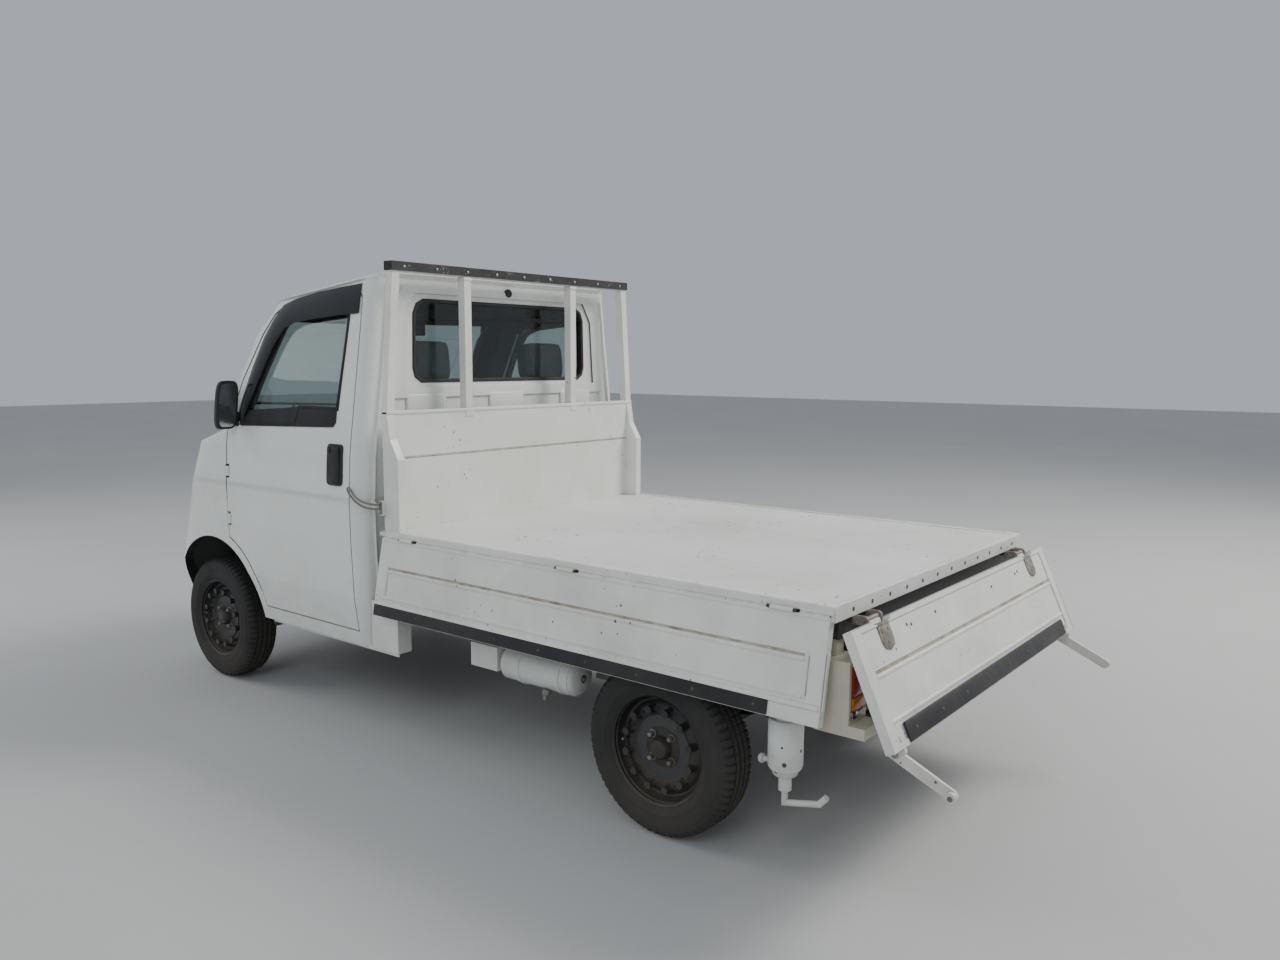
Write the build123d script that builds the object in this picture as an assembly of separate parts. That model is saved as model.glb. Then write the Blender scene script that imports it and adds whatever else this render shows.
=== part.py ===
from build123d import *
import math
import os

os.makedirs("parts", exist_ok=True)

# A kei truck: a semi-cab with a flat bed, drop sides and a tailgate, all hanging open.
# Millimetres. +X is forward, +Y is the truck's left, +Z is up, and the ground is Z = 0.
# Every piece is drawn with X = 0 at the rear edge of the deck. The last section moves the
# whole truck so that the origin is on the ground below the middle of its overall box.

# Clearances
RUN = 18.0           # open gap round a steered tyre
SEAT = 0.3           # gap where one piece lies on another
PANEL_GAP = 6.0      # gap between a door and its opening

# Wheels and axles
WHEELBASE = 2420.0
REAR_AXLE_X = 572.0
TYRE_R = 263.0
TYRE_W = 140.0
RIM_R = 160.0
RIM_WALL = 6.0
TRACK_HALF = 633.0
FRONT_AXLE_X = REAR_AXLE_X + WHEELBASE
STEER_MAX = 32.0     # degrees each way
WHEEL_SIDES = 64

# Cab, measured forward from its rear wall
CAB_TO_AXLE = 1094.0
CAB_REAR = FRONT_AXLE_X - CAB_TO_AXLE
CAB_FLOOR = 400.0
SILL_Z = 330.0
WALL = 35.0
BELT_Z = 1108.0
DRIP_REAR_Z = 1690.0   # drip rail at the rear wall
DRIP_FRONT_Z = 1606.0  # drip rail over the windscreen
DRIP_LENGTH = 762.0
DOOR_REAR = CAB_REAR + 57.0
DOOR_FRONT = FRONT_AXLE_X - 182.0
DOOR_LOW = 381.0
ARCH_R = 343.0
ARCH_X = FRONT_AXLE_X - 42.0
ARCH_Z = 292.0
ARCH_STRIP = 38.0      # body between the wheel arch and the door
ARCH_WALL = 10.0
KINGPIN_Y = 540.0
STRUT_R = 15.0
DOOR_HINGE_X = DOOR_FRONT - PANEL_GAP / 2
DOOR_HINGE_Y = 738.0
DOOR_HINGE_ZS = [730.0, 930.0]
DOOR_PIN_R = 2.5
DOOR_BORE_R = 2.6
DOOR_KNUCKLE_R = 4.6
DOOR_KNUCKLE_H = 40.0
GLASS = 6.0
GLASS_INSET = 14.0

# Load bed
CAB_GAP = 108.0        # headboard's face to the cab's rear wall
DECK_LENGTH = CAB_REAR - CAB_GAP
DECK_HALF = 702.0
DECK_TOP = 778.0
DECK_THICK = 18.0
SIDE_RAIL_Y = 605.0
SIDE_RAIL_W = 50.0
SIDE_RAIL_H = 75.0
GATE_REAR_X = 12.0
GATE_PAST = 19.0       # gate's reach in front of the headboard's face
GATE_LENGTH = DECK_LENGTH + GATE_PAST - GATE_REAR_X
GATE_HEIGHT = 278.0
GATE_THICK = 25.0
GATE_LEAN = 10.6       # degrees from upright, as it hangs
GATE_TOP = 753.6
GATE_OUT = 5.0         # face of the hanging gate, out from the deck's edge
HINGE_PIN_R = 4.0
HINGE_BORE_R = 4.2
HINGE_KNUCKLE_R = 6.6
HINGE_HALF = 34.0
HINGE_END = 138.0      # gate's end to the middle of its end hinge
EAR_W = 8.0
EAR_NOTCH = 9.0        # depth of the gates' notches round the ears
TAIL_HEIGHT = 306.0
TAIL_HALF = 738.0
TAIL_LEAN = 23.9
TAIL_TOP_X = -38.0
TAIL_TOP_Z = 726.0
TAIL_HINGE_Y = 569.0
TAIL_STRIP = 38.0      # depth of the deck's rear edge strip
LEVER_LENGTH = 161.0
LEVER_SLOPE = 24.6     # degrees below level
LEVER_Y = 680.0

# Headboard
HEAD_X = DECK_LENGTH
HEAD_TOP = 1737.0
PANEL_TOP = 1205.0
PANEL_THICK = 25.0
CREASE_Z = 1038.0
HEAD_TOP_HALF = 650.0
HEAD_LOW_HALF = 690.0
HEAD_REBATE = 2.0      # step in the deck that the headboard stands in
GUSSET_REACH = 58.0
BAR_W = 34.0
BAR_Y = 297.0

# Chassis
RAIL_Y = 300.0
RAIL_W = 60.0
RAIL_H = 90.0
RAIL_TOP = 610.0
RAIL_LOW_TOP = CAB_FLOOR - SEAT


def block(x0, x1, y0, y1, z0, z1):
    """Returns a box from its low and high corners."""
    size = (x1 - x0, y1 - y0, z1 - z0)
    centre = ((x0 + x1) / 2, (y0 + y1) / 2, (z0 + z1) / 2)
    return Pos(*centre) * Box(*size)


def across(points, y0, y1):
    """Extrudes an outline of (x, z) points from y0 to y1."""
    plane = Plane(origin=(0, y0, 0), x_dir=(1, 0, 0), z_dir=(0, -1, 0))
    face = plane * make_face(Polyline(*[(x, z) for x, z in points], close=True))
    return extrude(face, amount=y1 - y0, dir=(0, 1, 0))


def along(points, x0, x1):
    """Extrudes an outline of (y, z) points from x0 to x1."""
    plane = Plane(origin=(x0, 0, 0), x_dir=(0, 1, 0), z_dir=(1, 0, 0))
    face = plane * make_face(Polyline(*[(y, z) for y, z in points], close=True))
    return extrude(face, amount=x1 - x0, dir=(1, 0, 0))


def rod(x, y, z, radius, length, axis="Y"):
    """Returns a round bar centred on a point, along the named axis."""
    turn = {"X": (0, 90, 0), "Y": (90, 0, 0), "Z": (0, 0, 0)}[axis]
    return Pos(x, y, z) * Rot(*turn) * Cylinder(radius, length)


def many_sided(rows, sides):
    """Lofts a many-sided solid about Z through (z, radius) rows."""
    return loft([Pos(0, 0, z) * RegularPolygon(radius, sides) for z, radius in rows], ruled=True)


def other_side(shape):
    """Returns the same piece on the truck's other side."""
    return mirror(shape, about=Plane.XZ)


def both_sides(shape):
    return Compound([shape, other_side(shape)])


def cab_points(points):
    """Moves (distance from the cab's rear wall, z) points to their place on the truck."""
    return [(CAB_REAR + x, z) for x, z in points]


# The wheel housing's inner wall clears the tyre at full lock.
lock = math.radians(STEER_MAX)
TYRE_INSIDE = TRACK_HALF - TYRE_W / 2
HOUSING_Y = KINGPIN_Y + (TYRE_INSIDE - KINGPIN_Y) * math.cos(lock) - TYRE_R * math.sin(lock) - RUN

# Cab skin: one row for each outline, from the bumper's lower edge to the crown of the roof.
# columns: height at the rear, height at the front, half width, length from the rear wall,
# bow of the front, front corner radius, shift of the rear edge, share of the wall's
# thickness that the inner skin is lower by
CAB_ROWS = [
    (240.0, 240.0, 690.0, 1432.0, 30.0, 110.0, 0.0, 0.0),
    (512.0, 512.0, 728.0, 1457.0, 30.0, 150.0, 0.0, 0.0),
    (718.0, 718.0, 736.0, 1387.0, 30.0, 170.0, 0.0, 0.0),
    (870.0, 870.0, 738.0, 1350.0, 30.0, 180.0, 0.0, 0.0),
    (1040.0, 1040.0, 729.0, 1290.0, 35.0, 190.0, 0.0, 0.5),
    (BELT_Z, BELT_Z, 721.0, 1117.0, 80.0, 185.0, 0.0, 0.5),
    (1310.0, 1310.0, 694.0, 1049.0, 75.0, 175.0, 0.0, 0.0),
    (1492.0, 1492.0, 669.0, 924.0, 70.0, 160.0, 0.0, 0.0),
    (DRIP_REAR_Z, DRIP_FRONT_Z, 645.0, DRIP_LENGTH, 60.0, 140.0, 0.0, 0.6),
    (1706.0, 1624.0, 630.0, 690.0, 50.0, 120.0, -15.0, 0.8),
    (1719.0, 1642.0, 560.0, 630.0, 45.0, 120.0, 0.0, 1.0),
    (1745.0, 1672.0, 400.0, 520.0, 30.0, 120.0, 40.0, 1.0),
]
REAR_CORNER = 60.0


def cab_section(row, inset):
    """Returns one outline of the cab, moved inwards by the inset."""
    rear_z, front_z, half, length, bow, radius, rear_shift, drop = row
    rear = CAB_REAR + rear_shift + inset
    run = CAB_REAR + length - inset - rear
    rise = front_z - rear_z
    w = half - inset
    f = math.hypot(run, rise)
    fr = max(radius - inset, 20.0)
    rr = max(REAR_CORNER - inset, 12.0)
    k = math.sqrt(0.5)
    left = [
        Line((0, 0), (0, w - rr)),
        ThreePointArc((0, w - rr), (rr * (1 - k), w - rr * (1 - k)), (rr, w)),
        Line((rr, w), (f - bow - fr, w)),
        ThreePointArc((f - bow - fr, w), (f - bow - fr * (1 - k), w - fr * (1 - k)), (f - bow, w - fr)),
    ]
    nose = ThreePointArc((f - bow, w - fr), (f, 0), (f - bow, -(w - fr)))
    right = [
        ThreePointArc(
            (f - bow, -(w - fr)), (f - bow - fr * (1 - k), -(w - fr * (1 - k))), (f - bow - fr, -w)
        ),
        Line((f - bow - fr, -w), (rr, -w)),
        ThreePointArc((rr, -w), (rr * (1 - k), -(w - rr * (1 - k))), (0, -(w - rr))),
        Line((0, -(w - rr)), (0, 0)),
    ]
    level = Plane(origin=(rear, 0, rear_z - drop * inset), x_dir=(run, 0, rise), z_dir=(-rise, 0, run))
    return level * make_face(Wire(left + [nose] + right))


def cab_body(inset):
    return loft([cab_section(row, inset) for row in CAB_ROWS], ruled=True)


def window_prism(rows, x0, x1):
    """Extrudes a symmetric window outline of (half width, z) rows between two x planes."""
    points = [(y, z) for y, z in rows] + [(-y, z) for y, z in reversed(rows)]
    return along(points, x0, x1)


# Openings of the cab
SCREEN_ROWS = [(625.0, 1140.0), (645.0, 1165.0), (592.0, 1520.0), (560.0, 1560.0)]
REAR_WINDOW_ROWS = [
    (440.0, 1312.0), (466.0, 1330.0), (475.0, 1360.0), (470.0, 1565.0), (455.0, 1598.0), (425.0, 1614.0)
]
door_length = DOOR_FRONT - CAB_REAR
DOOR_OUTLINE = cab_points([
    (57.0, DOOR_LOW), (door_length, DOOR_LOW), (door_length, 1140.0), (824.0, 1310.0), (702.0, 1492.0),
    (632.0, 1572.0), (592.0, 1592.0), (77.0, 1640.0), (57.0, 1620.0),
])
DOOR_WINDOW = cab_points([
    (157.0, 1209.0), (402.0, 1209.0), (422.0, 1144.0), (807.0, 1130.0), (694.0, 1330.0), (572.0, 1520.0),
    (532.0, 1548.0), (147.0, 1568.0), (132.0, 1550.0),
])


def shrink(points, gap):
    """Moves each point of an outline towards its middle by the gap, along both axes."""
    cx = (min(p[0] for p in points) + max(p[0] for p in points)) / 2
    cz = (min(p[1] for p in points) + max(p[1] for p in points)) / 2
    return [(x + math.copysign(gap, cx - x), z + math.copysign(gap, cz - z)) for x, z in points]


def narrow(rows, gap):
    """Returns window rows that lie inside the given ones by the gap."""
    middle = (rows[0][1] + rows[-1][1]) / 2
    return [(y - gap, z + math.copysign(gap, middle - z)) for y, z in rows]


FAR = 2500.0         # reach of the cutting blocks, past the truck on every side
outer = cab_body(0.0)
inner = cab_body(WALL)
skin = outer - inner
glass_skin = cab_body(GLASS_INSET) - cab_body(GLASS_INSET + GLASS)

SIDE_Y0 = 500.0
cab_front_x = CAB_REAR + max(row[3] for row in CAB_ROWS)
side_zone = block(CAB_REAR - WALL, cab_front_x, SIDE_Y0, FAR, 0, FAR)
door_arch = rod(ARCH_X, SIDE_Y0, ARCH_Z, ARCH_R + ARCH_STRIP, FAR)
leaf_arch = rod(ARCH_X, SIDE_Y0, ARCH_Z, ARCH_R + ARCH_STRIP + PANEL_GAP, FAR)
door_cut = across(DOOR_OUTLINE, SIDE_Y0, FAR) - door_arch
door_leaf_zone = across(shrink(DOOR_OUTLINE, PANEL_GAP), SIDE_Y0, FAR) - leaf_arch
window_cut = across(DOOR_WINDOW, SIDE_Y0, FAR)
window_pane_zone = across(shrink(DOOR_WINDOW, SEAT), SIDE_Y0, FAR)
arch_cut = rod(ARCH_X, 0, ARCH_Z, ARCH_R, FAR)
screen_x = CAB_REAR + DRIP_LENGTH - 250.0
screen_cut = window_prism(SCREEN_ROWS, screen_x, cab_front_x)
screen_zone = window_prism(narrow(SCREEN_ROWS, SEAT), screen_x, cab_front_x)
rear_cut = window_prism(REAR_WINDOW_ROWS, CAB_REAR - WALL, CAB_REAR + 2 * WALL)
rear_zone = window_prism(narrow(REAR_WINDOW_ROWS, SEAT), CAB_REAR - WALL, CAB_REAR + 2 * WALL)

NOSE_X = CAB_REAR + 1050.0   # plane between the side panels and the front panel
BUMPER_TOP = 512.0
drip_slope = (DRIP_FRONT_Z - DRIP_REAR_Z) / DRIP_LENGTH
drip_behind = DRIP_REAR_Z - drip_slope * FAR
drip_ahead = DRIP_REAR_Z + drip_slope * FAR
shell = skin - screen_cut - rear_cut - arch_cut - door_cut - other_side(door_cut)
above = across(
    [
        (CAB_REAR - FAR, drip_behind), (CAB_REAR + FAR, drip_ahead), (CAB_REAR + FAR, FAR),
        (CAB_REAR - FAR, FAR),
    ],
    -FAR, FAR
)
low_front = block(NOSE_X, cab_front_x, -FAR, FAR, 0, BELT_Z)
rear_slab = block(0, CAB_REAR + REAR_CORNER, -FAR, FAR, 0, FAR)

cab_roof = shell & above
shell = shell - above
UNDER_HALF = 570.0           # half width of the rear wall's opening over the chassis
under_wall = block(0, CAB_REAR + REAR_CORNER, -UNDER_HALF, UNDER_HALF, 0, CAB_FLOOR)
below_sill = block(0, NOSE_X, -FAR, FAR, 0, SILL_Z)
cab_rear_wall = (shell & rear_slab) - under_wall - below_sill
shell = shell - rear_slab - below_sill
front_part = shell & low_front
cab_front = front_part & block(0, cab_front_x, -FAR, FAR, BUMPER_TOP, BELT_Z)
front_bumper = front_part & block(0, cab_front_x, -FAR, FAR, 0, BUMPER_TOP)
cab_sides = shell - low_front
cab_side_left = cab_sides & block(0, cab_front_x, 0, FAR, 0, FAR)

# Each sill runs on behind the cab, inside the hanging gate
SILL_BACK = 150.0
SILL_Y0 = 636.0
SILL_Y1 = 696.0
sill_end = block(CAB_REAR - SILL_BACK, CAB_REAR, SILL_Y0, SILL_Y1, SILL_Z, BUMPER_TOP)
cab_rear_wall = cab_rear_wall + sill_end + other_side(sill_end)

# Pressed swages of the rear wall: a raised frame round the window and a rib below it
FRAME_PROUD = 8.0
FRAME_OUT_ROWS = [(600.0, 1250.0), (590.0, 1560.0), (520.0, 1665.0)]
FRAME_IN_ROWS = [(540.0, 1290.0), (520.0, 1560.0), (470.0, 1640.0)]
window_frame = window_prism(FRAME_OUT_ROWS, CAB_REAR - FRAME_PROUD, CAB_REAR + 2)
window_frame = window_frame - window_prism(FRAME_IN_ROWS, CAB_REAR - WALL, CAB_REAR + WALL)
cab_rear_wall = cab_rear_wall + window_frame

windscreen = glass_skin & screen_zone
rear_glass = glass_skin & rear_zone

door_left = (skin & door_leaf_zone) - window_cut

# Door hinges: two ears on the cab's side carry a pin, and the door's knuckle turns on it
DOOR_EAR_H = 6.0
DOOR_EAR_GAP = 1.0
EAR_ROOT = 10.0      # ear's reach into the pillar
EAR_BACK = 8.0       # ear's reach inwards from the pin
LEAF_REACH = 24.0    # knuckle's root and notch behind the door's front edge
NOTCH_BACK = 22.0
NOTCH_GAP = 2.0
KNUCKLE_BACK = 9.0
POCKET_X = 6.0
POCKET_BACK = 12.0
for hz in DOOR_HINGE_ZS:
    half = DOOR_KNUCKLE_H / 2
    full = half + DOOR_EAR_GAP + DOOR_EAR_H
    pocket = block(
        DOOR_FRONT - 1, DOOR_FRONT + POCKET_X, DOOR_HINGE_Y - POCKET_BACK, FAR, hz - half - DOOR_EAR_GAP,
        hz + half + DOOR_EAR_GAP,
    )
    pin = Pos(DOOR_HINGE_X, DOOR_HINGE_Y, hz) * Cylinder(DOOR_PIN_R, 2 * full)
    cab_side_left = cab_side_left - pocket + pin
    for side in (-1, 1):
        ear_z = hz + side * (half + DOOR_EAR_GAP + DOOR_EAR_H / 2)
        low = ear_z - DOOR_EAR_H / 2
        high = ear_z + DOOR_EAR_H / 2
        cab_side_left = cab_side_left + block(
            DOOR_HINGE_X - DOOR_PIN_R, DOOR_FRONT + EAR_ROOT, DOOR_HINGE_Y - EAR_BACK,
            DOOR_HINGE_Y + DOOR_PIN_R,
            low, high,
        )
        door_left = door_left - block(
            DOOR_FRONT - LEAF_REACH, DOOR_FRONT, DOOR_HINGE_Y - NOTCH_BACK, FAR, low - NOTCH_GAP,
            high + NOTCH_GAP
        )
    knuckle = Pos(DOOR_HINGE_X, DOOR_HINGE_Y, hz) * Cylinder(DOOR_KNUCKLE_R, DOOR_KNUCKLE_H)
    knuckle = knuckle + block(
        DOOR_FRONT - LEAF_REACH, DOOR_HINGE_X, DOOR_HINGE_Y - KNUCKLE_BACK, DOOR_HINGE_Y + DOOR_PIN_R,
        hz - half, hz + half,
    )
    door_left = door_left + knuckle - Pos(DOOR_HINGE_X, DOOR_HINGE_Y, hz) * Cylinder(DOOR_BORE_R, 2 * full)
door_glass_left = glass_skin & window_pane_zone & side_zone

# Cab floor with the front wheel housings
FLOOR_T = 12.0
FIREWALL_X = CAB_REAR + 1115.0
TOE_RUN = 87.0
TOE_TOP = 545.0
TOE_EASE = 5.0       # offset of the toe board's outer face
FIREWALL_TOP = 900.0
HOUSING_SKIRT = 110.0
HOUSING_LAP = 30.0
floor_rear = CAB_REAR + WALL + SEAT
floor_outline = [
    (floor_rear, CAB_FLOOR), (FIREWALL_X - TOE_RUN + TOE_EASE, CAB_FLOOR), (FIREWALL_X, TOE_TOP - TOE_EASE),
    (FIREWALL_X, FIREWALL_TOP), (FIREWALL_X - FLOOR_T, FIREWALL_TOP), (FIREWALL_X - FLOOR_T, TOE_TOP),
    (FIREWALL_X - TOE_RUN, CAB_FLOOR + FLOOR_T), (floor_rear, CAB_FLOOR + FLOOR_T),
]
floor_mid = across(floor_outline, -HOUSING_Y, HOUSING_Y)
FLOOR_SIDE = 655.0
HOUSING_HALF = 600.0         # half length of the blank that the housings are cut from
arch_rear_x = ARCH_X - ARCH_R - ARCH_WALL
floor_side = block(
    floor_rear, arch_rear_x + HOUSING_LAP, HOUSING_Y, FLOOR_SIDE, CAB_FLOOR, CAB_FLOOR + FLOOR_T
)
wheel_space = rod(ARCH_X, HOUSING_Y + ARCH_WALL + HOUSING_HALF, ARCH_Z, ARCH_R, 2 * HOUSING_HALF)
housing = rod(ARCH_X, HOUSING_Y + HOUSING_HALF, ARCH_Z, ARCH_R + ARCH_WALL, 2 * HOUSING_HALF) - wheel_space
housing = housing & block(CAB_REAR, cab_front_x, 0, FAR, CAB_FLOOR - HOUSING_SKIRT, FAR)
housing = housing & cab_body(WALL + SEAT)
floor_side = floor_side - wheel_space
cab_floor = floor_mid + floor_side + other_side(floor_side) + housing + other_side(housing)

# Inside the cab
DASH_FRONT = FIREWALL_X - FLOOR_T - SEAT
DASH_DEPTH = 200.0
DASH_HALF = 600.0
DASH_Z0 = CAB_FLOOR + 400.0
DASH_Z1 = CAB_FLOOR + 690.0
DASH_KNEE = 60.0     # rise of its underside towards the driver
DASH_FALL = 20.0     # fall of its top towards the driver
DASH_ROLL = 30.0
DASH_FIT = 2.0
dash_back = DASH_FRONT - DASH_DEPTH
dashboard = across(
    [
        (dash_back, DASH_Z0 + DASH_KNEE), (DASH_FRONT, DASH_Z0), (DASH_FRONT, DASH_Z1),
        (dash_back + DASH_ROLL, DASH_Z1 - DASH_FALL),
    ],
    -DASH_HALF, DASH_HALF,
)
dashboard = dashboard & cab_body(WALL + DASH_FIT)
SEAT_Y = 330.0
SEAT_HALF = 235.0
SEAT_BASE_TOP = CAB_FLOOR + 240.0
SEAT_BASE_X = CAB_REAR + 75.0
SEAT_BASE_LENGTH = 580.0
SEAT_BASE_HALF = 600.0
SEAT_BASE_WALL = 20.0
base_low = CAB_FLOOR + FLOOR_T + SEAT
seat_base = block(
    SEAT_BASE_X, SEAT_BASE_X + SEAT_BASE_LENGTH, -SEAT_BASE_HALF, SEAT_BASE_HALF, base_low, SEAT_BASE_TOP
)
seat_base = seat_base - block(
    SEAT_BASE_X + SEAT_BASE_WALL, SEAT_BASE_X + SEAT_BASE_LENGTH - SEAT_BASE_WALL,
    SEAT_BASE_WALL - SEAT_BASE_HALF, SEAT_BASE_HALF - SEAT_BASE_WALL, 0, SEAT_BASE_TOP - SEAT_BASE_WALL,
)
SEAT_Y0 = SEAT_Y - SEAT_HALF
SEAT_Y1 = SEAT_Y + SEAT_HALF
cushion_low = SEAT_BASE_TOP + SEAT
CUSHION_H = 100.0
BACK_TOP = SEAT_BASE_TOP + 660.0
HEAD_REST_H = 170.0
HEAD_REST_HALF = 120.0
cushion_top = cushion_low + CUSHION_H
CUSHION_RISE = 30.0  # front edge over the cushion's rear edge
BACK_RISE = 7.0
seat_cushion = across(
    cab_points(
        [
            (155.0, cushion_low), (665.0, cushion_low), (675.0, cushion_top + CUSHION_RISE),
            (165.0, cushion_top),
        ]
    ),
    SEAT_Y0, SEAT_Y1,
)
seat_back = across(
    cab_points([
        (167.0, cushion_top + 2 * SEAT), (265.0, cushion_top + BACK_RISE), (185.0, BACK_TOP),
        (85.0, BACK_TOP),
    ]),
    SEAT_Y0, SEAT_Y1,
)
head_rest = across(
    cab_points([
        (85.0, BACK_TOP + SEAT), (175.0, BACK_TOP + SEAT), (160.0, BACK_TOP + HEAD_REST_H),
        (80.0, BACK_TOP + HEAD_REST_H),
    ]),
    SEAT_Y - HEAD_REST_HALF, SEAT_Y + HEAD_REST_HALF,
)
seats = Compound([
    s for part in (seat_cushion, seat_back, head_rest) for s in (part, other_side(part))
])

# Steering wheel and column, on the right
WHEEL_TILT = 50.0    # steering shaft's slope from level, in degrees
STEER_X = CAB_REAR + 765.0
STEER_Y = -SEAT_Y
STEER_Z = CAB_FLOOR + 590.0
STEER_RING = 180.0
STEER_GRIP = 13.0
SHAFT_R = 12.0
SHAFT_FIT = 0.08
COLUMN_R = 28.0
COLUMN_LENGTH = 640.0
HUB_DEPTH = 45.0
HUB_FACE = 5.0       # hub's face over the ring's plane
PAD_R = 42.0
SPOKE_W = 34.0
SPOKE_T = 12.0
SPOKE_DROP = 8.0
GRIP_SIDES = 8
SHAFT_LENGTH = 64.0
BORE_DEPTH = 60.0
BORE_MIDDLE = 25.0
axis_x = math.cos(math.radians(WHEEL_TILT))
axis_z = -math.sin(math.radians(WHEEL_TILT))
steer_plane = Plane(origin=(STEER_X, STEER_Y, STEER_Z), x_dir=(0, 1, 0), z_dir=(-axis_x, 0, -axis_z))
ring_face = Plane.XZ * Pos(STEER_RING, 0) * RegularPolygon(STEER_GRIP, GRIP_SIDES)
ring = steer_plane * revolve(ring_face, axis=Axis.Z)
hub = steer_plane * Pos(0, 0, (HUB_FACE - HUB_DEPTH) / 2) * Cylinder(PAD_R, HUB_DEPTH + HUB_FACE)
bore = steer_plane * Pos(0, 0, -BORE_MIDDLE) * Cylinder(SHAFT_R + SHAFT_FIT, BORE_DEPTH)
spoke_bar = Pos(0, 0, -SPOKE_DROP) * Box(2 * STEER_RING, SPOKE_W, SPOKE_T)
spoke_low = Pos(0, 0, -SPOKE_DROP) * Rot(0, 0, 90) * Pos(STEER_RING / 2, 0, 0) * Box(
    STEER_RING, SPOKE_W, SPOKE_T
)
steering_wheel = ring + hub + steer_plane * (spoke_bar + spoke_low) - bore
column_top = -HUB_DEPTH - PANEL_GAP
steering_column = steer_plane * Pos(
    0, 0, column_top - COLUMN_LENGTH / 2
) * Cylinder(COLUMN_R, COLUMN_LENGTH)
steering_column = steering_column + steer_plane * Pos(
    0, 0, column_top + SHAFT_R
) * Cylinder(SHAFT_R, SHAFT_LENGTH)
toe_x = FIREWALL_X - TOE_RUN - SEAT
beyond_firewall = across(
    [
        (toe_x, 0), (toe_x, CAB_FLOOR + FLOOR_T), (FIREWALL_X - FLOOR_T - SEAT, TOE_TOP),
        (FIREWALL_X - FLOOR_T - SEAT, FIREWALL_TOP), (cab_front_x, FIREWALL_TOP), (cab_front_x, 0),
    ],
    -HOUSING_Y, HOUSING_Y,
)
steering_column = steering_column - beyond_firewall - dashboard

# Headlamps in the front corners
LAMP_Z0 = 700.0
LAMP_Z1 = 850.0
LAMP_Y0 = 430.0
LAMP_Y1 = 690.0
LAMP_RISE = 10.0     # lamp's rear corners over its front ones
LAMP_PROUD = 4.0
lamp_outline = cab_points([
    (1270.0, LAMP_Z0 + LAMP_RISE), (1420.0, LAMP_Z0), (1400.0, LAMP_Z1), (1255.0, LAMP_Z1 + LAMP_RISE),
])
headlamp = across(lamp_outline, LAMP_Y0, LAMP_Y1) & cab_body(-LAMP_PROUD)
headlamps = both_sides(headlamp)
cab_front = cab_front - headlamp - other_side(headlamp)

# Grille between the headlamps: a thin panel with slots, let into the front panel
GRILLE_HALF = 330.0
GRILLE_Z0 = 905.0
GRILLE_Z1 = 985.0
GRILLE_T = 14.0
GRILLE_SLOTS = 3
GRILLE_BAR = 14.0
SLOT_HALF = 8.0
grille_zone = block(NOSE_X, cab_front_x, -GRILLE_HALF, GRILLE_HALF, GRILLE_Z0, GRILLE_Z1)
grille_hole = block(
    NOSE_X, cab_front_x, -GRILLE_HALF - SEAT, GRILLE_HALF + SEAT, GRILLE_Z0 - SEAT, GRILLE_Z1 + SEAT
)
grille = grille_zone & (outer - cab_body(GRILLE_T))
slot_pitch = (GRILLE_Z1 - GRILLE_Z0) / GRILLE_SLOTS
for step in range(GRILLE_SLOTS):
    slot_z = GRILLE_Z0 + slot_pitch * (step + 0.5)
    for side in (-1, 1):
        slot_y = side * GRILLE_HALF / 2
        half = GRILLE_HALF / 2 - GRILLE_BAR
        grille = grille - block(
            NOSE_X, cab_front_x, slot_y - half, slot_y + half, slot_z - SLOT_HALF, slot_z + SLOT_HALF
        )
cab_front = cab_front - grille_hole

# Bumper with its lower air intake
INTAKE_HALF = 260.0
INTAKE_Z0 = 320.0
INTAKE_Z1 = 400.0
front_bumper = front_bumper - block(NOSE_X, cab_front_x, -INTAKE_HALF, INTAKE_HALF, INTAKE_Z0, INTAKE_Z1)

# Door fittings: the upright handle and the mirror
HANDLE_Z0 = 928.0
HANDLE_Z1 = 1081.0
MIRROR_Z = 1206.0
MIRROR_Y = 768.0
MIRROR_W = 92.0
MIRROR_H = 198.0
MIRROR_T = 45.0
MIRROR_CORNER = 26.0
MIRROR_BACK = 70.0   # mirror's middle behind the door's front edge
ARM_HALF = 12.0
HANDLE_X = 101.0     # handle's rear edge from the cab's rear wall
HANDLE_W = 98.0
HANDLE_PROUD = 5.0
HANDLE_SET = 12.0
door_skin_y = 738.0
handle_x = CAB_REAR + HANDLE_X
handle = block(
    handle_x, handle_x + HANDLE_W, door_skin_y - HANDLE_SET, door_skin_y + HANDLE_PROUD, HANDLE_Z0,
    HANDLE_Z1
)
handle = handle - outer
mirror_x = DOOR_FRONT - MIRROR_BACK
arm_z = MIRROR_Z - MIRROR_H / 4
mirror_arm = block(
    mirror_x - ARM_HALF, mirror_x + ARM_HALF, SIDE_Y0, MIRROR_Y - MIRROR_W / 3, arm_z - ARM_HALF,
    arm_z + ARM_HALF
)
mirror_arm = mirror_arm - outer - inner
mirror_plate = Plane(origin=(mirror_x - MIRROR_T / 2, MIRROR_Y, MIRROR_Z), x_dir=(0, 1, 0), z_dir=(1, 0, 0))
mirror_head = extrude(
    mirror_plate * RectangleRounded(MIRROR_W, MIRROR_H, MIRROR_CORNER), amount=MIRROR_T, dir=(1, 0, 0)
)
door_fittings_left = Compound([handle, mirror_arm + mirror_head])

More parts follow.
